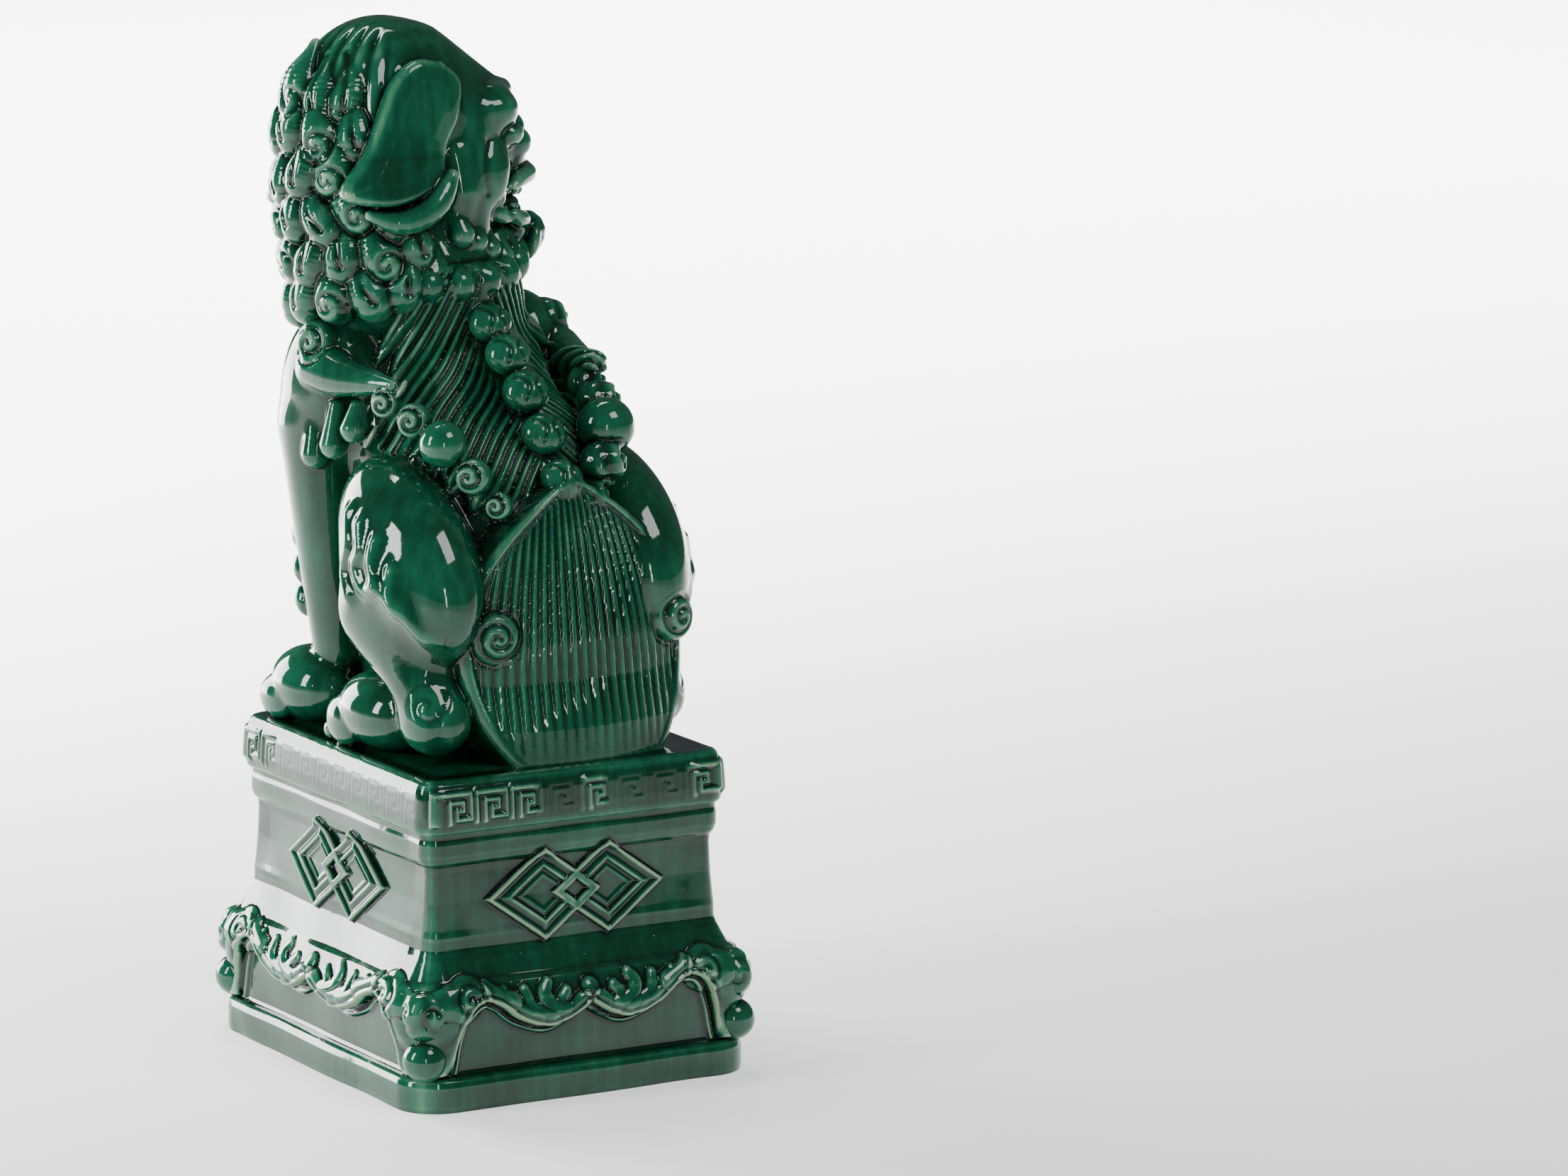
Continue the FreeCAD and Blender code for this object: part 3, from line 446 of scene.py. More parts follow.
def mantle(clay):
    """Combed hair over the back: a raised layer whose strands run outwards and down from the spine."""
    strand_pitch, lock_pitch, raised = 5.3, 15.9, 3.2
    along = (SPINE_LOW - SPINE_HIGH)[1:]
    along = along / np.linalg.norm(along)
    cut, x, y, z = clay.window((-64, -34, 196), (58, 66, 312), 2)
    run = (y - SPINE_HIGH[1]) * along[0] + (z - SPINE_HIGH[2]) * along[1]
    across = np.abs(x - (SPINE_HIGH[0] - 0.035 * run))
    inside = mantle_outline(run, across, y, z)
    phase = run - MANTLE_SLANT * across + 0.004 * across ** 2 + 0.9 * np.sin(across / 7.0 + run / 11.0)
    parting = np.exp(-(np.sin(math.pi * phase / lock_pitch) / 0.22) ** 2)
    grooves = comb_wave(phase / strand_pitch, 1.5) + 0.6 * parting
    old = clay.field[cut]
    for side, sign in SIDES.items():
        mine = (inside > 0.02) & (old < raised) & ((x - SPINE_HIGH[0]) * sign >= 0)
        clay.owner[cut] = np.where(mine, clay.number(f"back_mantle_{side}"), clay.owner[cut])
    clay.field[cut] = old - raised * inside ** 0.5 + grooves * inside * np.clip(across / 5 - 0.5, 0, 1)


def spine_knobs(clay):
    """Six round knobs down the spine, each with two leaf folds pressed into it."""
    out = np.array([0.0, 0.73, 0.68])
    for index in range(6):
        centre = spine(index / 5) - 2.4 * out
        girth = 8.6 - 0.3 * abs(index - 3)
        clay.add("spine_knobs", blob(centre, (girth + 0.6, girth - 1.4, girth), (43, 0, 0)), 0.9)
        top = centre + out * (girth - 1.4)
        for side in (1, -1):
            fold = [(side * 5.0, -2.5, 3.0), (side * 1.6, 0.8, 0.4), (side * 3.4, 3.2, -4.2)]
            clay.scribe(top + curve(fold, 8), 0.9, 0.8, tuple(out))


def flank_curls(clay):
    """A row of curls along each lower edge of the mantle, the third of them the largest and plain."""
    places = ((46, 6, 252), (42, 20, 247), (37, 32, 240), (29.5, 41, 228), (21, 45, 217), (12, 45, 209))
    girths = (6.0, 7.0, 8.8, 7.2, 5.6, 4.4)
    for side, sign in SIDES.items():
        for index, (place, girth) in enumerate(zip(places, girths)):
            girth = girth if sign > 0 else 1.25 * girth
            centre = np.array(place) * (1 if sign > 0 else -0.92, 1, 1)
            facing = (sign * 0.75, 0.6, 0.1)
            clay.add("flank_curls", blob(centre, (girth, girth, girth)), 0.8)
            if index != 2:
                clay.swirl(centre, facing, girth, 1.8, 1.4, hand=sign)


def haunch(clay, side, sign):
    """A smooth thigh with flame licks on its side, a shin and a heel swirl."""
    name = f"haunch_{side}"
    clay.add(name, blob((sign * 45, 22, 196), (21.5, 29, 44), (48, 0, 0)), 3.0)
    clay.add(name, blob((sign * 47, 12, 180), (17, 20, 28), (20, 0, 0)), 8.0)
    shin = f"shin_{side}"
    calf = curve([(sign * 52, 12, 176), (sign * 50, 30, 160), (sign * 47, 42, 143)], 16)
    clay.add(shin, horn(calf, np.linspace(14, 11.5, 16)), 8.0)
    clay.add(shin, blob((sign * 47, 42, 138), (12, 15, 12)), 6.0)
    clay.swirl((sign * 50, 46, 146), (sign * 0.8, 0.6, 0.1), 8.5, 1.2, 0.5, hand=sign)
    flames = (
        [(10, 214), (13, 203), (10, 192), (15, 184)],
        [(19, 211), (22, 202), (19, 195), (25, 187), (34, 190)],
        [(30, 206), (30, 197), (35, 189), (42, 182)],
        [(40, 196), (41, 188), (46, 181), (52, 172)],
    )
    for flame in flames:
        path = [(sign * 66, y, z) for y, z in curve(flame, 14)]
        clay.scribe(path, 3.3, -2.4, (1, 0, 0))


def hind_paw(clay, side, sign):
    """A rounded foot with toes parted by grooves."""
    name = f"hind_paw_{side}"
    clay.add(name, blob((sign * 47, 8, 137), (16, 24, 15)), 4.0)
    for offset in (-10.5, -3.5, 3.5, 10.5):
        clay.add(name, blob((sign * 47 + offset, -9 + abs(offset) * 0.4, 132), (5.4, 11, 9.5)), 0.8)
        clay.add(name, blob((sign * 47 + offset, -20 + abs(offset) * 0.4, 126.5), (2.2, 3.4, 3.4)), 0.8)


def foreleg(clay, side, sign):
    """A straight foreleg narrowing to the wrist, with small tufts behind it."""
    name = f"foreleg_{side}"
    clay.add(name, horn(curve([(sign * 43, -47, 236), (sign * 42, -44, 200), (sign * 38, -42, 152)], 24),
                        np.linspace(15.5, 10, 24)), 4.0)
    for rise in (168, 180, 193, 207):
        place = (sign * (44 + 0.05 * (rise - 160)), -55, rise)
        clay.add(name, blob(place, (4.6, 4.4, 6.5), (25, 0, 0)), 2.0)


def fore_paw(clay, side, sign):
    """A broad front foot with four toes."""
    name = f"fore_paw_{side}"
    clay.add(name, blob((sign * 42, -52, 136), (16, 22, 15)), 3.0)
    for offset in (-11.5, -4, 4, 11.5):
        clay.add(name, blob((sign * 42 + offset, -66 + abs(offset) * 0.4, 130.5), (5.4, 10.5, 8.5)), 1.4)


def shoulder(clay, side, sign):
    """A swirl lobe over the shoulder, with drops hanging under it."""
    name = f"shoulder_lobe_{side}"
    clay.add(name, blob((sign * 41, -43, 250), (17, 22, 32), (-10, 0, 0)), 5.0)
    clay.add(name, horn(curve([(sign * 50, -33, 261), (sign * 49, -18, 259), (sign * 44, 8, 259)], 26),
                        9.5 - 7.0 * np.linspace(0, 1, 26) ** 1.8), 1.2)
    clay.add(name, blob((sign * 50, -35, 270), (8.5, 9, 8.5)), 1.2)
    clay.swirl((sign * 53, -34, 270), (sign * 0.85, 0.5, 0.1), 8.5, 1.8, 1.2, hand=sign)
    drops = ((-56, 256, 240), (-46, 252, 234), (-35, 248, 228), (-24, 247, 233), (-14, 248, 240))
    for y, high, low in drops:
        out = 52.5 - 0.008 * (y + 38) ** 2
        clay.add(name, horn([(sign * (out - 2), y, high), (sign * out, y + 1, low)], [3.2, 5.6]), 1.4)


def belly(clay):
    """The clay left standing between the legs."""
    clay.add("belly_web", blob((0, -16, 150), (38, 36, 60)), 5.0)
    clay.add("belly_web", blob((0, -20, 132), (40, 30, 16)), 5.0)


def tail(clay):
    """A leaf tail against the rump: raised rim, ribs running down from the tip, and two scrolls."""
    wide, widest, tip, foot = 49.0, 166.0, 227.0, SLAB_TOP
    rim_round, thickness, rib_count, rib_depth = 1.6, 24.0, 15.0, 0.95
    low = (TAIL_AT[0] - wide - 2, TAIL_AT[1] - 26, foot - 3)
    high = (TAIL_AT[0] + wide + 2, TAIL_AT[1] + 22, tip + 2)
    cut, x, y, z = clay.window(low, high, 1)
    rise = np.clip((z - widest) / (tip - widest), 0, 1)
    sink = np.clip((widest - z) / (widest - foot), 0, 1)
    half = wide * (1 - rise ** 2.2) * np.sqrt(1 - (0.74 * sink) ** 2) + 0.01
    across = x - TAIL_AT[0]
    edge = (half - np.abs(across)) * 0.75
    bulge = 22.0 * dome(across, wide + 2) - 8.0 * rise ** 1.5 + 3.5 * sink
    back = TAIL_AT[1] - 11 + bulge - 0.10 * np.maximum(z - widest, 0)
    spread = (wide + 14) * (1 - 0.48 * np.clip((z - widest + 10) / (tip - widest + 10), 0, 1) ** 1.6)
    fade = np.clip(edge / 4 - 0.7, 0, 1) * np.clip((z - 122) / 26, 0.1, 1)
    ribs = rib_depth * comb_wave(rib_count * across / spread, 1.2) * fade
    rim = 1.9 * np.clip((z - 132) / 20, 0.15, 1)
    back = back - np.clip(edge - 2.6, 0, 1) * (rim + ribs)
    behind = y - back
    corner = np.hypot(np.maximum(behind + rim_round, 0), np.maximum(rim_round - edge, 0)) - rim_round
    new = np.where((behind > -rim_round) & (edge < rim_round), corner, np.maximum(behind, -edge))
    new = np.maximum(new, back - thickness - y).astype(np.float32)
    clay.merge("tail_fan", cut, new, 1.5)
    for sign, out in ((1, 35.0), (-1, 40.0)):
        centre = TAIL_AT + (sign * out, -1.0, 4)
        clay.add("tail_scrolls", blob(centre, (10.5, 9, 11)), 0.8)
        clay.swirl(centre, (sign * 0.35, 0.93, 0.05), 10.8, 2.4, 1.2, hand=sign)


def collar(clay):
    """A raised line round the neck and a ruff of small curls above it."""
    spin = rotation((-14, 0, 0))
    centre = np.array([5.0, -44.0, 292.0])
    ring = [centre + spin @ (39.5 * math.cos(angle), 34 * math.sin(angle), 0)
            for angle in np.linspace(0, 2 * math.pi, 49)]
    clay.add("collar", horn(ring, [2.0] * len(ring)), 2.4)
    for index in range(20):
        angle = 2 * math.pi * index / 20
        place = centre + spin @ (40.5 * math.cos(angle), 35 * math.sin(angle), 8)
        clay.add("collar", blob(place, (6.0, 6.0, 6.6)), 1.2)


def body_clay():
    """The whole animal up to its neck."""
    clay = Clay((-74, -90, SLAB_TOP - 3), (70, 76, 316), 0.7 * COARSE)
    torso(clay)
    belly(clay)
    for side, sign in SIDES.items():
        foreleg(clay, side, sign)
        fore_paw(clay, side, sign)
        shoulder(clay, side, sign)
    mantle(clay)
    for side, sign in SIDES.items():
        haunch(clay, side, sign)
        hind_paw(clay, side, sign)
    spine_knobs(clay)
    flank_curls(clay)
    collar(clay)
    tail(clay)
    floor = (SLAB_TOP - 0.8) - clay.axes[2][None, None, :]
    clay.field = -smooth_min(-clay.field, np.broadcast_to(-floor, clay.field.shape), 0.5)
    return clay


# ---------------------------------------------------------------- head


def skull(clay):
    """A smooth dome whose forehead slopes down to the brow, with combed hair where the mane starts."""
    clay.add("skull", blob((0, 9, 8), (34, 34, 36)))
    clay.add("skull", blob((0, -14, 5), (29, 26, 19), (24, 0, 0)), 10)
    for sign in (1, -1):
        clay.add("skull", horn([(sign * 9, -4, 24), (sign * 9, -35, 11.5)], [13, 4.5]), 8)
    cut, x, y, z = clay.window((-40, 0, 2), (40, 50, 50), 2)
    comb = comb_wave(np.degrees(np.arctan2(x, y + 8)) / 9.5, 1.3)
    fade = np.clip((y - 12) / 8, 0, 1) * np.clip((42 - z) / 8, 0, 1)
    clay.field[cut] += (1.0 * comb * fade).astype(np.float32)


def mane(clay):
    """The mane's mass and its rows of drop-shaped locks, each row overlapping the one below."""
    clay.add("mane_cap", blob((0, 18, -20), (30, 30, 42)), 6)
    clay.add("mane_cap", blob((1, 18, -52), (33, 29, 28)), 8)
    heights = (-58, -43, -28, -13, 2, 15)
    limits = (122, 118, 112, 64, 68, 74)
    for row, (height, limit) in enumerate(zip(heights, limits)):
        narrowing = 5.5 * max(height + 2, 0) / 16
        wide = 31.0 - narrowing
        deep = 31.0 + 0.03 * (height + 30) - 0.0009 * (height + 24) ** 2 - narrowing
        count = int(round(limit / 13.0))
        for index in range(count):
            swing = math.radians(-limit + 2 * limit * (index + 0.5 * (row % 2) + 0.25) / count)
            lean, drop = RNG.uniform((-2.4, -3.2), (2.4, 3.2))
            out = np.array([math.sin(swing), math.cos(swing), 0.0])
            side = np.array([math.cos(swing), -math.sin(swing), 0.0])
            middle = np.array([0, 17, height + drop])
            spread = np.array([wide, deep, 0])
            root = middle + (0.86 if row < 5 else 0.70) * spread * out + (0, 0, 17)
            belly_at = middle + 0.93 * spread * out + lean * side + (0, 0, 5)
            end = middle + 0.93 * spread * out - lean * side + (0, 0, -4)
            swell = 2.0 + 6.2 * np.sin(np.linspace(0, 1, 16) ** 1.3 * 2.0)
            clay.add("mane_locks", horn(curve([root, belly_at, end], 16), swell), 0.9)
            if (index + 2 * row) % 3 == 0:
                clay.swirl(end + 1.5 * out, out, 7.6, 1.3, 1.0, hand=1 if out[0] > 0 else -1)
            else:
                crease = [root + 3.0 * out, belly_at + 7.6 * out + 1.4 * side,
                          end + 6.6 * out - 0.6 * side]
                clay.scribe(curve(crease, 7), 1.5, 1.3)


def brow_and_cheeks(clay):
    """A browed ledge over each eye, full cheeks, and a ruff of small locks under them."""
    for sign in (1, -1):
        ledge = curve([(0, -38.5, 13), (sign * 10, -36.5, 13.5), (sign * 21, -28, 11)], 20)
        clay.add("brow", horn(ledge, np.linspace(3.0, 3.4, 20)), 3.0)
        clay.add("brow", blob((sign * 17, -27, 5.5), (13, 11.5, 9.5)), 4.0)
        clay.add("eyes", blob((sign * 17, -34, -4), (7.5, 6.5, 5.0)), 1.2)
        clay.add("cheeks", blob((sign * 18, -14, -16), (13, 16, 22)), 6.0)
        clay.add("cheeks", blob((sign * 12, -10, -42), (15, 16, 16)), 8.0)
        clay.add("cheeks", blob((sign * 19, -24, -17), (9, 9, 13)), 4.0)
        clay.add("cheeks", horn([(sign * 26, -9, -10), (sign * 26, -10, -24), (sign * 23, -8, -36)],
                                [5.0, 6.0, 5.0]), 3.0)
        for share in np.linspace(0, 1, 5):
            root = np.array([sign * (25 - 14 * share), -7 - 27 * share, -33 - 13 * share])
            clay.add("cheeks", horn([root, root + (sign * 1.5, -1.5, -7)], [3.6, 5.2]), 1.2)


def nose_and_lips(clay):
    """A short muzzle with a broad nose and a curled upper lip."""
    clay.add("snout", blob((0, -31, -12), (15, 17, 13)), 5.0)
    clay.add("nose", horn([(0, -32, 6), (0, -42, -2)], [5.5, 7.0]), 2.5)
    for sign in (1, -1):
        clay.add("nose", blob((sign * 8, -41, -7.5), (6.4, 6.8, 6.2)), 1.2)
        clay.dig(blob((sign * 7.0, -48.0, -9), (2.2, 3.0, 2.4)), 0.8)
        lip = [(0, -47.5, -18.5), (sign * 8, -45.5, -19.5), (sign * 16, -37, -22), (sign * 20, -28, -28)]
        clay.add("snout", horn(curve(lip, 20), np.linspace(4.0, 3.0, 20)), 1.6)


def jaw_and_teeth(clay):
    """The jaw with the mouth dug out above it, a tongue, and a row of teeth above and below."""
    clay.add("chin", blob((0, -18, -36), (15, 13, 12)), 5.0)
    clay.add("lower_jaw", blob((0, -27, -38), (14, 14, 6.0)), 3.0)
    clay.add("lower_jaw", blob((0, -32, -41), (15, 14, 7.0)), 4.0)
    jaw = curve([(-19, -26, -33), (-14, -38, -36), (0, -45, -37.5), (14, -38, -36), (19, -26, -33)], 32)
    clay.add("lower_jaw", horn(jaw, [3.4] * 32), 1.6)
    clay.dig(blob((0, -41, -28.3), (32, 14, 3.8)), 1.4)
    clay.dig(blob((0, -30, -29), (13, 14, 5.6)), 2.0)
    clay.add("lower_jaw", blob((0, -33, -30.5), (9, 11.5, 5.4)), 1.0)
    for index in range(9):
        angle = math.radians(-72 + 18 * index)
        place = (15.5 * math.sin(angle), -28.5 - 13.5 * math.cos(angle), -32.6)
        clay.add("teeth", blob(place, (2.3, 2.0, 2.6)), 0.5)
        clay.add("teeth", blob((place[0], place[1] - 1.2, -24.4), (2.3, 2.0, 2.8)), 0.5)


def cheek_folds(clay):
    """Two folds pressed into each cheek."""
    folds = (
        [(-39, -14), (-33, -23), (-33, -34), (-37, -42)],
        [(-22, -6), (-19, -15), (-20, -25)],
    )
    for sign in (1, -1):
        for depth, fold in zip((1.4, 1.0), folds):
            path = curve([(sign * 24, y, z) for y, z in fold], 12)
            clay.scribe(path, 2.2, depth, (sign, 0, 0))


def beard(clay):
    """A leaf-shaped curl that hangs clear below the chin."""
    middle = curve([(0, -40, -40), (0, -47.5, -38), (0, -50, -44.5), (0, -45, -53)], 12)
    girths = np.concatenate([np.linspace(3.5, 5.2, 6), np.linspace(5.2, 1.4, 6)])
    clay.add("beard_curl", horn(middle, girths), 1.2)
    clay.add("beard_curl", blob((0, -48, -44.5), (8.0, 3.6, 8.0), (12, 0, 0)), 1.5)
    clay.scribe(curve([(0, -52, -40), (0, -52.5, -45), (0, -48, -52)], 8), 1.2, 0.8, (0, 1, 0))


def inside_outline(u, v, outline):
    """Whether points (u, v) lie inside a closed flat outline."""
    crossings = np.zeros(np.broadcast(u, v).shape)
    for (u0, v0), (u1, v1) in zip(outline, outline[1:]):
        rise = v1 - v0 if abs(v1 - v0) > 1e-6 else 1e-6
        crossings += ((v0 <= v) != (v1 <= v)) & (u < u0 + (v - v0) * (u1 - u0) / rise)
    return crossings % 2 == 1


def ear(clay, side, sign):
    """A paddle-shaped flap: rounded top, thick front rim, and a flared tip behind."""
    half_thick, rim_round = 3.0, 2.4
    outline = curve([(-2, 25), (-10, 17), (-8, 4), (-2, -6), (2, -18), (12, -25), (28, -27.5), (43, -22),
                     (33, -8), (27, 4), (20, 18), (10, 26), (-2, 25)], 60)
    near, far = sorted((sign * 26, sign * 46))
    cut, x, y, z = clay.window((near, -16, -34), (far, 48, 32), 3)
    y_flat, z_flat = np.broadcast_arrays(y[0], z[0])
    nearest = polyline_gap(y_flat, z_flat, outline)
    flat = np.where(inside_outline(y_flat, z_flat, outline), -nearest, nearest)[None]
    lie = 34.5 + 0.06 * (y - 10) + np.clip(-10 - z, 0, 20) * 0.20 - 0.005 * (y - 14) ** 2
    crown = 2.2 * np.clip(-flat / 8, 0, 1) ** 0.5
    out = np.abs(sign * x - lie) - half_thick - crown
    corner = np.hypot(np.maximum(flat + rim_round, 0), np.maximum(out + rim_round, 0)) - rim_round
    near_rim = (flat > -rim_round) & (out > -rim_round)
    new = np.where(near_rim, np.maximum(np.maximum(flat, out), corner), np.maximum(flat, out))
    clay.merge(f"ear_{side}", cut, new.astype(np.float32), 0.8)
    roll = curve([(sign * 38, -1, -18), (sign * 39.5, 8, -29), (sign * 38.5, 20, -33.5),
                  (sign * 36, 32, -30)], 12)
    girths = [3.0, 4.2, 4.8, 5.0, 5.0, 5.0, 5.0, 4.8, 4.4, 3.8, 3.0, 2.2]
    clay.add(f"ear_{side}", horn(roll, girths), 1.5)


def head_clay():
    """The head with its mane down to the shoulders."""
    clay = Clay((-48, -60, -84), (48, 62, 50), 0.55 * COARSE)
    skull(clay)
    mane(clay)
    brow_and_cheeks(clay)
    nose_and_lips(clay)
    jaw_and_teeth(clay)
    cheek_folds(clay)
    beard(clay)
    for side, sign in SIDES.items():
        ear(clay, side, sign)
    return clay


# ---------------------------------------------------------------- glaze

# Colour against thickness, from where the glaze has run thin to where it lies deepest.
GLAZE_STOPS = (
    (0.00, (0.23, 0.34, 0.21, 1)), (0.16, (0.075, 0.21, 0.115, 1)),
    (0.34, (0.008, 0.105, 0.055, 1)), (0.52, (0.0022, 0.050, 0.025, 1)),
    (0.72, (0.0014, 0.017, 0.009, 1)), (1.00, (0.001, 0.004, 0.0025, 1)),
)


class Nodes:
    """A material's nodes, and short ways to add the kinds that the glaze uses."""

    def __init__(self, name):
        self.material = bpy.data.materials.new(name)
        self.material.use_nodes = True
        self.tree = self.material.node_tree
        self.shader = self.tree.nodes["Principled BSDF"]
        self.place = self.node("ShaderNodeTexCoord").outputs["Object"]

    def node(self, kind, inputs=(), **settings):
        """Adds a node: its inputs take plain values or other nodes' outputs."""
        item = self.tree.nodes.new(kind)
        for key, value in settings.items():
            setattr(item, key, value)
        for socket, value in dict(inputs).items():
            self.feed(item.inputs[socket], value)
        return item

    def feed(self, socket, value):
        """Sets an input to a value or links an output to it."""
        if hasattr(value, "links"):
            self.tree.links.new(value, socket)
        else:
            socket.default_value = value

    def noise(self, scale, detail, vector=None):
        """A noise from nought to one."""
        inputs = {"Vector": self.place if vector is None else vector, "Scale": scale, "Detail": detail}
        return self.node("ShaderNodeTexNoise", inputs).outputs[0]

    def calculate(self, kind, first, second):
        """One sum, difference or product."""
        return self.node("ShaderNodeMath", {0: first, 1: second}, operation=kind).outputs[0]

    def weighted(self, *terms):
        """The sum of outputs times their weights."""
        total = None
        for value, weight in terms:
            product = self.calculate("MULTIPLY", value, weight)
            total = product if total is None else self.calculate("ADD", total, product)
        return total


def glaze_colour(nodes, tone):
    """Pale and yellow-green where the glaze runs thin, near black where it pools, streaked and patchy."""
    edge, pool = (nodes.node("ShaderNodeAttribute", attribute_name=name).outputs["Fac"]
                  for name in ("edge", "pool"))
    stretched = nodes.node("ShaderNodeMapping", {"Vector": nodes.place, "Scale": (240, 240, 26)})
    streaks = nodes.noise(1.0, 4, stretched.outputs["Vector"])
    clouds = nodes.noise(38, 3)
    thickness = nodes.weighted((edge, -0.74), (pool, -0.055),
                               (nodes.calculate("SUBTRACT", streaks, 0.5), 0.34),
                               (nodes.calculate("SUBTRACT", clouds, 0.5), 0.40))
    ramp = nodes.node("ShaderNodeValToRGB", {0: nodes.calculate("ADD", thickness, 0.53 + tone)})
    elements = ramp.color_ramp.elements
    while len(elements) < len(GLAZE_STOPS):
        elements.new(0.5)
    for element, (position, colour) in zip(elements, GLAZE_STOPS):
        element.position = position
        element.color = colour
    return ramp.outputs[0]


def glaze_surface(nodes):
    """Orange peel, a slow waviness and a few pinholes, all in metres."""
    pits = nodes.node("ShaderNodeTexVoronoi", {"Vector": nodes.place, "Scale": 130}, feature="F1")
    pit = nodes.node("ShaderNodeMapRange",
                     {"Value": pits.outputs["Distance"], "From Min": 0.03, "From Max": 0.07})
    height = nodes.weighted((nodes.noise(320, 1), 0.00003), (nodes.noise(48, 2), 0.00042),
                            (pit.outputs[0], 0.00012))
    return nodes.node("ShaderNodeBump", {"Strength": 0.55, "Distance": 1.0, "Height": height}).outputs[0]


def glaze(name, tone=0.0):
    """A glossy emerald glaze; tone darkens it."""
    nodes = Nodes(name)
    looks = {
        "Base Color": glaze_colour(nodes, tone), "Normal": glaze_surface(nodes), "Roughness": 0.06,
        "IOR": 1.45, "Coat Weight": 0.15, "Coat Roughness": 0.03,
    }
    for socket, value in looks.items():
        nodes.feed(nodes.shader.inputs[socket], value)
    return nodes.material


BODY_GLAZE = glaze("body_glaze")
PLINTH_GLAZE = glaze("plinth_glaze", 0.02)


def finish_piece(item, material, replaced):
    """Gives a piece its glaze and its body, and hides the CAD nodes that it stands for."""
    item.data.materials.append(material)
    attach(item, "root")
    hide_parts(*replaced)


SHELL_NODES = {"torso": "torso_shell", "skull": "skull_shell"}


def sculpt(clay, place):
    """Skins a block of clay and makes its pieces; all but two shells have their CAD node's name."""
    for piece, parts in skin(clay).items():
        item = make_mesh(f"glazed_{piece}", *parts, place)
        finish_piece(item, BODY_GLAZE, [SHELL_NODES.get(piece, piece)])


sculpt(body_clay(), BODY_PLACE)
sculpt(head_clay(), HEAD_PLACE)

# ---------------------------------------------------------------- plinth

# The plan is the dado's narrowest outline, SLAB_OUT inside the slab's box.
SLAB_LOW, SLAB_HIGH = node_box("top_slab")
SLAB_OUT = 4.65
HALF_X, HALF_Y = ((SLAB_HIGH - SLAB_LOW)[:2] / 2) - SLAB_OUT
SLAB_BASE = 102.8
CORNER = 4.2
CORNER_EXTRA = 6.0
WALL = 8.0
GRAIN = 0.45 * COARSE * 1.0
FACES = {"right": (-1, 0), "front": (0, -1), "left": (1, 0), "back": (0, 1)}

# Mouldings from the bottom up, as (distance out from the plan, height).
WALL_SECTION = (
    (12.0, 0.0), (12.4, 2.0), (12.3, 9.5), (11.6, 11.7), (10.2, 12.6), (8.0, 13.0), (7.4, 14.2),
    (7.3, 22.0), (7.6, 32.0), (8.6, 41.0), (9.7, 46.3), (7.2, 48.2), (5.2, 51.6), (2.9, 56.0),
    (2.0, 58.5), (1.8, 61.6), (1.9, 63.0), (1.5, 66.0), (0.5, 76.0), (0.0, 87.0), (0.3, 89.6),
    (1.8, 91.4), (2.7, 94.0), (2.7, 98.5), (2.2, 100.6), (2.6, SLAB_BASE),
)
SLAB_SECTION = (
    (1.5, SLAB_BASE - 0.2), (3.6, SLAB_BASE - 0.3), (4.4, 103.6), (4.6, 105.5), (4.6, 109.0),
    (4.1, 116.0), (3.5, 119.4), (2.9, 121.0), (1.8, 122.1), (0.2, SLAB_TOP), (-2.0, SLAB_TOP),
)

# The apron's outer face, as (height, distance out from the plan); below the first it hangs straight.
APRON_FOOT, APRON_TOP = 13.6, 46.3
APRON_SECTION = ((23.0, 11.8), (28.0, 13.0), (34.2, 13.7), (40.0, 12.7), (APRON_TOP, 9.7))


def half_of(face):
    """Half the length of a face of the plan."""
    return HALF_Y if FACES[face][0] else HALF_X


def even_rows(section):
    """A moulding's section as evenly spaced (distance out, height) rows."""
    line = np.array(section, float)
    lengths = np.concatenate([[0], np.cumsum(np.hypot(*np.diff(line, axis=0).T))])
    marks = np.linspace(0, lengths[-1], int(lengths[-1] / GRAIN) + 1)
    return np.interp(marks, lengths, line[:, 0]), np.interp(marks, lengths, line[:, 1])


def ring_path():
    """The plinth's rounded plan: for each column its face, place along it, point and outward direction.

    The corners get more columns than their length asks for, so that they stay smooth.
    """
    columns = []
    for face, (nx, ny) in FACES.items():
        straight = half_of(face) - CORNER
        depth = HALF_X if nx else HALF_Y
        turn = CORNER + CORNER_EXTRA
        reach = straight + turn * math.pi / 4
        places = np.linspace(-reach, reach, int(2 * reach / GRAIN))[:-1]
        for place in places:
            angle = max(abs(place) - straight, 0.0) / turn * math.copysign(1, place)
            along = min(max(place, -straight), straight) + CORNER * math.sin(angle)
            out = depth - CORNER + CORNER * math.cos(angle)
            side_x, side_y = -ny, nx
            point = (nx * out + side_x * along, ny * out + side_y * along)
            direction = (nx * math.cos(angle) + side_x * math.sin(angle),
                         ny * math.cos(angle) + side_y * math.sin(angle))
            columns.append((face, along, *point, *direction))
    return columns


def ridge(gap, width):
    """A rounded ridge of height one over a distance."""
    return np.exp(-(gap / width) ** 2)


def tapered(u, v, path, root, tip):
    """The height of a rounded leaf lobe that narrows from its root to its tip along a flat path."""
    height = np.zeros(np.broadcast(u, v).shape)
    for (at_u, at_v), girth in zip(path, np.linspace(root, tip, len(path))):
        height = np.maximum(height, girth ** 2 - (u - at_u) ** 2 - (v - at_v) ** 2)
    return np.sqrt(height)


def step_up(value, width=1.0):
    """A smooth step from nought to one."""
    share = np.clip(value / width + 0.5, 0, 1)
    return share * share * (3 - 2 * share)


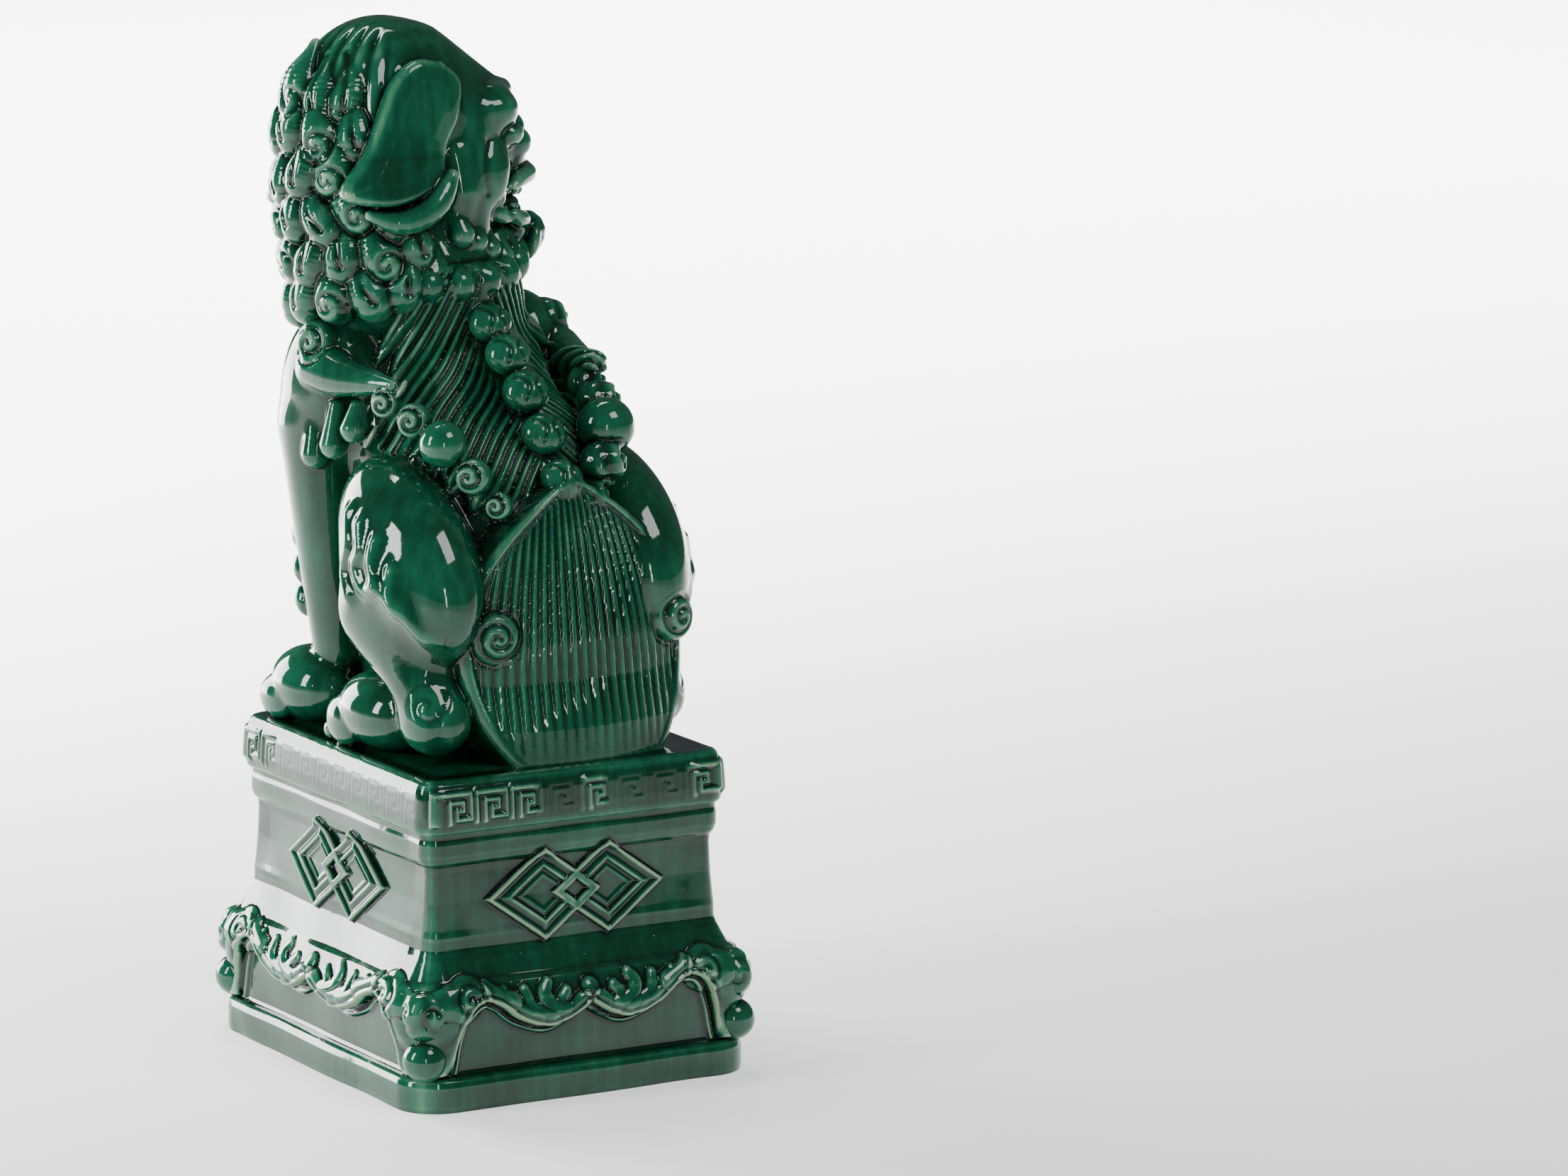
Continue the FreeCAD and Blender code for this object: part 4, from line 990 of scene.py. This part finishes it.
def fret(along, height, half):
    """A band of square key spirals standing proud of the slab's edge."""
    usual_pitch, foot, tall, proud, line = 13.4, 107.0, 10.6, 1.5, 1.25
    pitch = 2 * half / int(2 * half / usual_pitch)
    wide = pitch * 0.42
    u = np.mod(along + half, pitch) - pitch / 2
    v = height - foot
    outer = [(-1, 0), (-1, 1), (1, 1), (1, 0.12), (0.02, 0.12), (0.02, 0.5)]
    inner = [(-0.42, 0), (-0.42, 0.72), (0.46, 0.72), (0.46, 0.42), (0.02, 0.42)]
    gap = np.minimum(*(polyline_gap(u, v, np.array(path) * (wide, tall)) for path in (outer, inner)))
    return proud * ridge(gap, line) * (np.abs(along) < half - 0.5)


def diamond_gap(along, height, wide, tall):
    """Distance inside a diamond from its sides."""
    return (1 - np.abs(along) / wide - np.abs(height) / tall) * wide * tall / math.hypot(wide, tall)


def lozenge(along, height):
    """Two interlaced diamonds of grooved band round a small diamond with a pit."""
    wide, tall, apart, middle = 24.0, 17.5, 13.5, 76.0
    lines = ((0.9, 0.75, 0.8), (5.6, 0.55, 0.8), (3.2, -0.5, 1.0), (8.6, 0.5, 0.7))
    relief = np.zeros(np.broadcast(along, height).shape)
    for centre in (-apart, apart):
        gap = diamond_gap(along - centre, height - middle, wide, tall)
        band = step_up(gap, 0.9) * (1.7 - 0.9 * step_up(gap - 6.3, 1.4))
        for place, proud, width in lines:
            band = band + proud * ridge(gap - place, width)
        relief = np.maximum(relief, band)
    gap = diamond_gap(along, height - middle, 10.5, 8.0)
    heart = 2.6 * step_up(gap, 1.0) - 1.9 * step_up(gap - 3.3, 1.2)
    return np.where(gap > -0.5, np.maximum(heart, relief * (gap < 0.5)), relief)


def apron_leaves(along, height):
    """Rounded leaf lobes that rise from the apron's edge."""
    lobes = (
        [(3.5, 36), (9, 33.5), (12.5, 37), (10, 41)],
        [(10, 33), (17, 36), (19, 41), (17, 44.5)],
        [(16, 32), (25, 36), (27, 43)],
        [(22, 32.5), (32, 37), (35.5, 43.5)],
        [(33, 39), (40, 43), (42, 46)],
    )
    leaf = np.zeros(np.broadcast(along, height).shape)
    for lobe in lobes:
        leaf = np.maximum(leaf, 0.62 * tapered(along, height, curve(lobe, 24), 4.6, 2.3))
    return leaf


def apron(along, height, half):
    """A leafy apron hanging over the plinth's panel, with a double moulding along its wavy edge."""
    along = np.abs(along) * HALF_X / half
    hem_line = curve([(0, 36.5), (8, 31.5), (17, 28.5), (29, 32.5), (37, 38.5), (44, 41), (50, 37),
                      (54, 28), (56.5, 16), (58, 12)], 80)
    hem = np.interp(along, *hem_line.T)
    gap = polyline_gap(along, height, hem_line) * np.sign(height - hem)
    wall_out, wall_height = zip(*WALL_SECTION)
    thickness = np.interp(height, *zip(*APRON_SECTION)) - np.interp(height, wall_height, wall_out)
    relief = thickness * step_up(gap + 0.6, 2.2) * (height < APRON_TOP) * (height > APRON_FOOT)
    relief = relief + 1.5 * ridge(gap + 2.6, 0.9) * (height > APRON_FOOT)
    relief = relief - 0.8 * ridge(gap - 1.9, 1.0) * (height < 46)
    relief = relief + 2.2 * dome(np.hypot(along, height - 41.5), 3.8) + apron_leaves(along, height)
    scroll_u, scroll_v = along - 50, height - 41.5
    radius = np.hypot(scroll_u, scroll_v)
    coil = comb_wave(radius / 5.0 - np.arctan2(scroll_v, scroll_u) / (2 * math.pi), 1)
    scroll = 2.4 * dome(radius, 9) - 0.8 * coil * step_up(6 - radius, 2)
    return relief + scroll * step_up(height - 15, 2)


def unevenness(along, height, half):
    """The slow waviness of a pressed wall, fading out at its corners."""
    wave = np.sin(along / 9.1 + height / 23.0) + np.sin(along / 15.7 - height / 11.3 + 2.0)
    wave = wave + np.sin(along / 6.3 + height / 7.9 + 4.0) * 0.5
    wave = wave + np.sin(along / 11.0 + 1.3) * np.cos(height / 7.0 + along / 31.0) * 1.5
    return 0.20 * wave * np.clip((half - 4 - np.abs(along)) / 8, 0, 1)


def fret_shown(face, along):
    """How much of the fret shows: glaze has filled some stretches of two faces nearly altogether."""
    if face == "back":
        places = (-70, -20, -14, -1, 3, 9, 13, 45, 51, 70)
        return np.interp(along, places, (1, 1, .1, .1, .75, .75, .1, .1, 1, 1))
    if face == "left":
        return np.interp(-along, (-90, 44, 60, 90), (0.05, 0.05, 0.9, 1))
    return np.ones(np.shape(along))


def round_mean(grid, reach):
    """A grid averaged over a few millimetres each way; its columns run round the plinth."""
    size = max(int(round(reach / GRAIN)), 1)
    return box_mean(grid, size, ((0, "wrap"), (1, "edge"), (0, "wrap"), (1, "edge")))


def swept(section, relief_for):
    """The plan swept up a section: face names by column; points, normals and glaze measures on a grid."""
    columns = ring_path()
    faces = np.array([column[0] for column in columns])
    along, x, y, out_x, out_y = np.array([column[1:] for column in columns], float).T[:, :, None]
    out, height = even_rows(section)
    relief, flood = np.zeros((2, len(columns), len(out)))
    for face in FACES:
        mine = faces == face
        relief[mine], flood[mine] = relief_for(face, along[mine], height[None])
    distance = out[None] + relief
    level = np.broadcast_to(height, distance.shape)
    points = np.stack([x + out_x * distance, y + out_y * distance, level], axis=2)
    round_about = np.roll(points, -1, axis=0) - np.roll(points, 1, axis=0)
    normals = np.cross(round_about, np.gradient(points, axis=1))
    normals /= np.maximum(np.linalg.norm(normals, axis=2, keepdims=True), 1e-9)
    on_corner = np.minimum(np.abs(out_x), np.abs(out_y)) / math.sin(math.pi / 4)
    worn = (distance - round_mean(distance, FINE_REACH)) * 1.3 + 0.34 * on_corner ** 3
    pooled = (distance - round_mean(distance, WIDE_REACH)) * 1.1 - flood
    return faces, points, normals, worn, pooled


def grid_quads(columns, rows, wrap):
    """Quads of a grid of vertices stored column by column."""
    across = np.arange(columns if wrap else columns - 1)
    ahead = (across + 1) % columns
    up = np.arange(rows - 1)
    a = across[:, None] * rows + up
    b = ahead[:, None] * rows + up
    return np.stack([a, b, b + 1, a + 1], axis=2).reshape(-1, 4)


def flat_normal(points):
    """The direction a flat face looks in."""
    middle = points.mean(axis=0)
    total = np.cross(points - middle, np.roll(points, -1, axis=0) - middle).sum(axis=0)
    return total / max(np.linalg.norm(total), 1e-9)


def close_shell(name, grid, normals, worn, pooled, extra_points, extra_faces, wrap):
    """Joins a swept skin with the plain faces that close it, and makes the object in metres."""
    quads = grid_quads(*grid.shape[:2], wrap)
    points = np.concatenate([grid.reshape(-1, 3), extra_points])
    corners = [normals.reshape(-1, 3)[quads].reshape(-1, 3)]
    for face in extra_faces:
        corners.append(np.repeat(flat_normal(points[face])[None], len(face), axis=0))
    blank = np.zeros(len(extra_points))
    mesh = bpy.data.meshes.new(name)
    mesh.from_pydata((points * MM).tolist(), [], quads.tolist() + extra_faces)
    return place_object(name, mesh, np.concatenate(corners), np.concatenate([worn.ravel(), blank]),
                        np.concatenate([pooled.ravel(), blank]))


def wall_relief(face, along, height):
    """What stands out from a wall, and no flooding."""
    half = half_of(face)
    total = lozenge(along, height) + apron(along, height, half) + unevenness(along, height, half)
    return total, np.zeros_like(total)


def plinth_sides():
    """Four pressed walls that meet at the corners, each closed at the back."""
    faces, points, normals, worn, pooled = swept(WALL_SECTION, wall_relief)
    rows = points.shape[1]
    shift = WALL_SECTION[0][0] + WALL
    for face, (nx, ny) in FACES.items():
        mine = np.flatnonzero(faces == face)
        picked = np.arange(mine[0], mine[0] + len(mine) + 1) % len(faces)
        grid = points[picked]
        inner = []
        for corner in (grid[0, 0, :2], grid[-1, 0, :2]):
            side = np.sign(corner * (abs(ny), abs(nx)))
            inner.append(corner - shift * (np.array([nx, ny]) + side))
        back = [(*spot, height) for height in (0.0, SLAB_BASE) for spot in inner]
        base = len(picked) * rows
        bottom = list(range(0, base, rows))
        top = list(range(rows - 1, base, rows))
        caps = [
            bottom[::-1] + [base, base + 1],
            top + [base + 3, base + 2],
            list(range(rows)) + [base + 2, base],
            list(range(base - rows, base))[::-1] + [base + 1, base + 3],
            [base, base + 2, base + 3, base + 1],
        ]
        item = close_shell(f"glazed_plinth_{face}", grid, normals[picked], worn[picked], pooled[picked],
                           np.array(back), caps, False)
        finish_piece(item, PLINTH_GLAZE,
                     [f"plinth_wall_{face}", f"lozenge_{face}", f"leaf_apron_{face}"])


def slab_relief(face, along, height):
    """The fret where it still shows, and the glaze that fills the rest of its band."""
    shown = fret_shown(face, along)
    band = (height > 105.5) & (height < 119.5)
    return fret(along, height, half_of(face) - 1.0) * shown, 2.4 * (1 - shown) * band


def plinth_slab():
    """The slab with its fret, closed over the top by rings that shrink to the middle."""
    _, points, normals, worn, pooled = swept(SLAB_SECTION, slab_relief)
    columns, rows = points.shape[:2]
    base = columns * rows
    rings = [points[:, -1] * (share, share, 1) for share in (0.9, 0.72, 0.5, 0.28, 0.08)]
    caps = []
    previous = list(range(rows - 1, base, rows))
    for index in range(len(rings)):
        current = [base + index * columns + column for column in range(columns)]
        for column in range(columns):
            ahead = (column + 1) % columns
            caps.append([previous[column], previous[ahead], current[ahead], current[column]])
        previous = current
    caps.append(previous)
    caps.append(list(range(0, base, rows))[::-1])
    item = close_shell("glazed_slab", points, normals, worn, pooled, np.concatenate(rings), caps, True)
    nodes = ["top_slab"] + [f"fret_band_{face}" for face in FACES]
    finish_piece(item, PLINTH_GLAZE, nodes)


def corner_posts():
    """Ball feet and scroll brackets at the four corners."""
    for across, sx in SIDES.items():
        for along, sy in (("front", -1), ("back", 1)):
            spot = np.array([sx * (HALF_X + 5.6), sy * (HALF_Y + 5.6), 0.0])
            clay = Clay(spot + (-14, -14, 8), spot + (14, 14, 52), 0.5 * COARSE)
            clay.add("ball_foot", blob(spot + (0, 0, 19.5), (8.2, 8.2, 8.0)))
            clay.add("corner_scroll", blob(spot + (-sx, -sy, 36.5), (9.2, 9.2, 10.5)), 1.0)
            for facing in ((sx, 0.0, 0.1), (0.0, sy, 0.1)):
                clay.swirl(spot + (-sx, -sy, 37.0), facing, 9.5, 1.3, 0.7, hand=sx * sy)
            for piece, parts in skin(clay).items():
                name = f"{piece}_{along}_{across}"
                item = make_mesh(f"glazed_{name}", *parts, Matrix.Identity(4))
                finish_piece(item, PLINTH_GLAZE, [name])


plinth_sides()
plinth_slab()
corner_posts()

# ---------------------------------------------------------------- studio


def studio_floor():
    """A wide flat floor of pale paper that shines a little by itself."""
    mesh = bpy.data.meshes.new("studio_floor")
    reach = 14.0
    mesh.from_pydata([(-reach, -reach, 0), (reach, -reach, 0), (reach, reach, 0), (-reach, reach, 0)], [],
                     [(0, 1, 2, 3)])
    item = bpy.data.objects.new("studio_floor", mesh)
    bpy.context.collection.objects.link(item)
    material = bpy.data.materials.new("studio_paper")
    material.use_nodes = True
    shader = material.node_tree.nodes["Principled BSDF"]
    shader.inputs["Base Color"].default_value = (0.93, 0.93, 0.93, 1)
    shader.inputs["Roughness"].default_value = 0.9
    shader.inputs["Emission Color"].default_value = (1, 1, 1, 1)
    shader.inputs["Emission Strength"].default_value = 0.62
    mesh.materials.append(material)


def softbox(name, place, target, width, height, watts, beam):
    """A rectangular area light facing a target."""
    lamp = bpy.data.lights.new(name, "AREA")
    lamp.shape = "RECTANGLE"
    lamp.size = width
    lamp.size_y = height
    lamp.energy = watts
    lamp.spread = math.radians(beam)
    item = bpy.data.objects.new(name, lamp)
    item.location = place
    item.rotation_euler = (Vector(target) - Vector(place)).to_track_quat("-Z", "Y").to_euler()
    bpy.context.collection.objects.link(item)


def studio():
    """Soft boxes in front, at the left, above the tail and by the camera, and a wash on the floor."""
    middle = (0, 0, 0.2)
    softbox("box_left", (0.50, -1.25, 0.38), middle, 0.75, 0.75, 42, 180)
    softbox("box_side", (1.15, -0.10, 0.60), middle, 0.22, 0.7, 12, 180)
    softbox("box_over", (-0.30, 0.85, 1.25), middle, 0.6, 0.5, 9, 180)
    softbox("strip", (0.55, 1.35, 0.35), middle, 0.06, 0.5, 2.2, 180)
    softbox("floor_wash", (-1.2, -2.3, 2.4), (-1.2, -2.3, 0), 3.6, 3.0, 290, 62)
    world = bpy.data.worlds.new("studio_air")
    world.use_nodes = True
    air = world.node_tree.nodes["Background"].inputs
    air["Color"].default_value = (0.9, 0.95, 1.0, 1)
    air["Strength"].default_value = 0.12
    bpy.context.scene.world = world


def camera():
    """The viewpoint: behind and to the left of the statue, a little above it, with a long lens."""
    azimuth, elevation, roll = math.radians(28.616), math.radians(10.919), math.radians(-0.18)
    distance = 3.0
    target = Vector((0, 0, 0.18719))
    back = Vector((math.sin(azimuth) * math.cos(elevation), math.cos(azimuth) * math.cos(elevation),
                   math.sin(elevation)))
    lens = bpy.data.cameras.new("camera")
    lens.sensor_width = 36.0
    lens.lens = 183.78
    lens.shift_x = 0.19345
    lens.shift_y = -0.01712
    lens.clip_end = 50
    item = bpy.data.objects.new("camera", lens)
    look = (-back).to_track_quat("-Z", "Y").to_matrix().to_4x4()
    stand = Matrix.Translation(target + back * distance)
    item.matrix_world = stand @ look @ Matrix.Rotation(roll, 4, "Z")
    bpy.context.collection.objects.link(item)
    bpy.context.scene.camera = item


studio_floor()
studio()
camera()
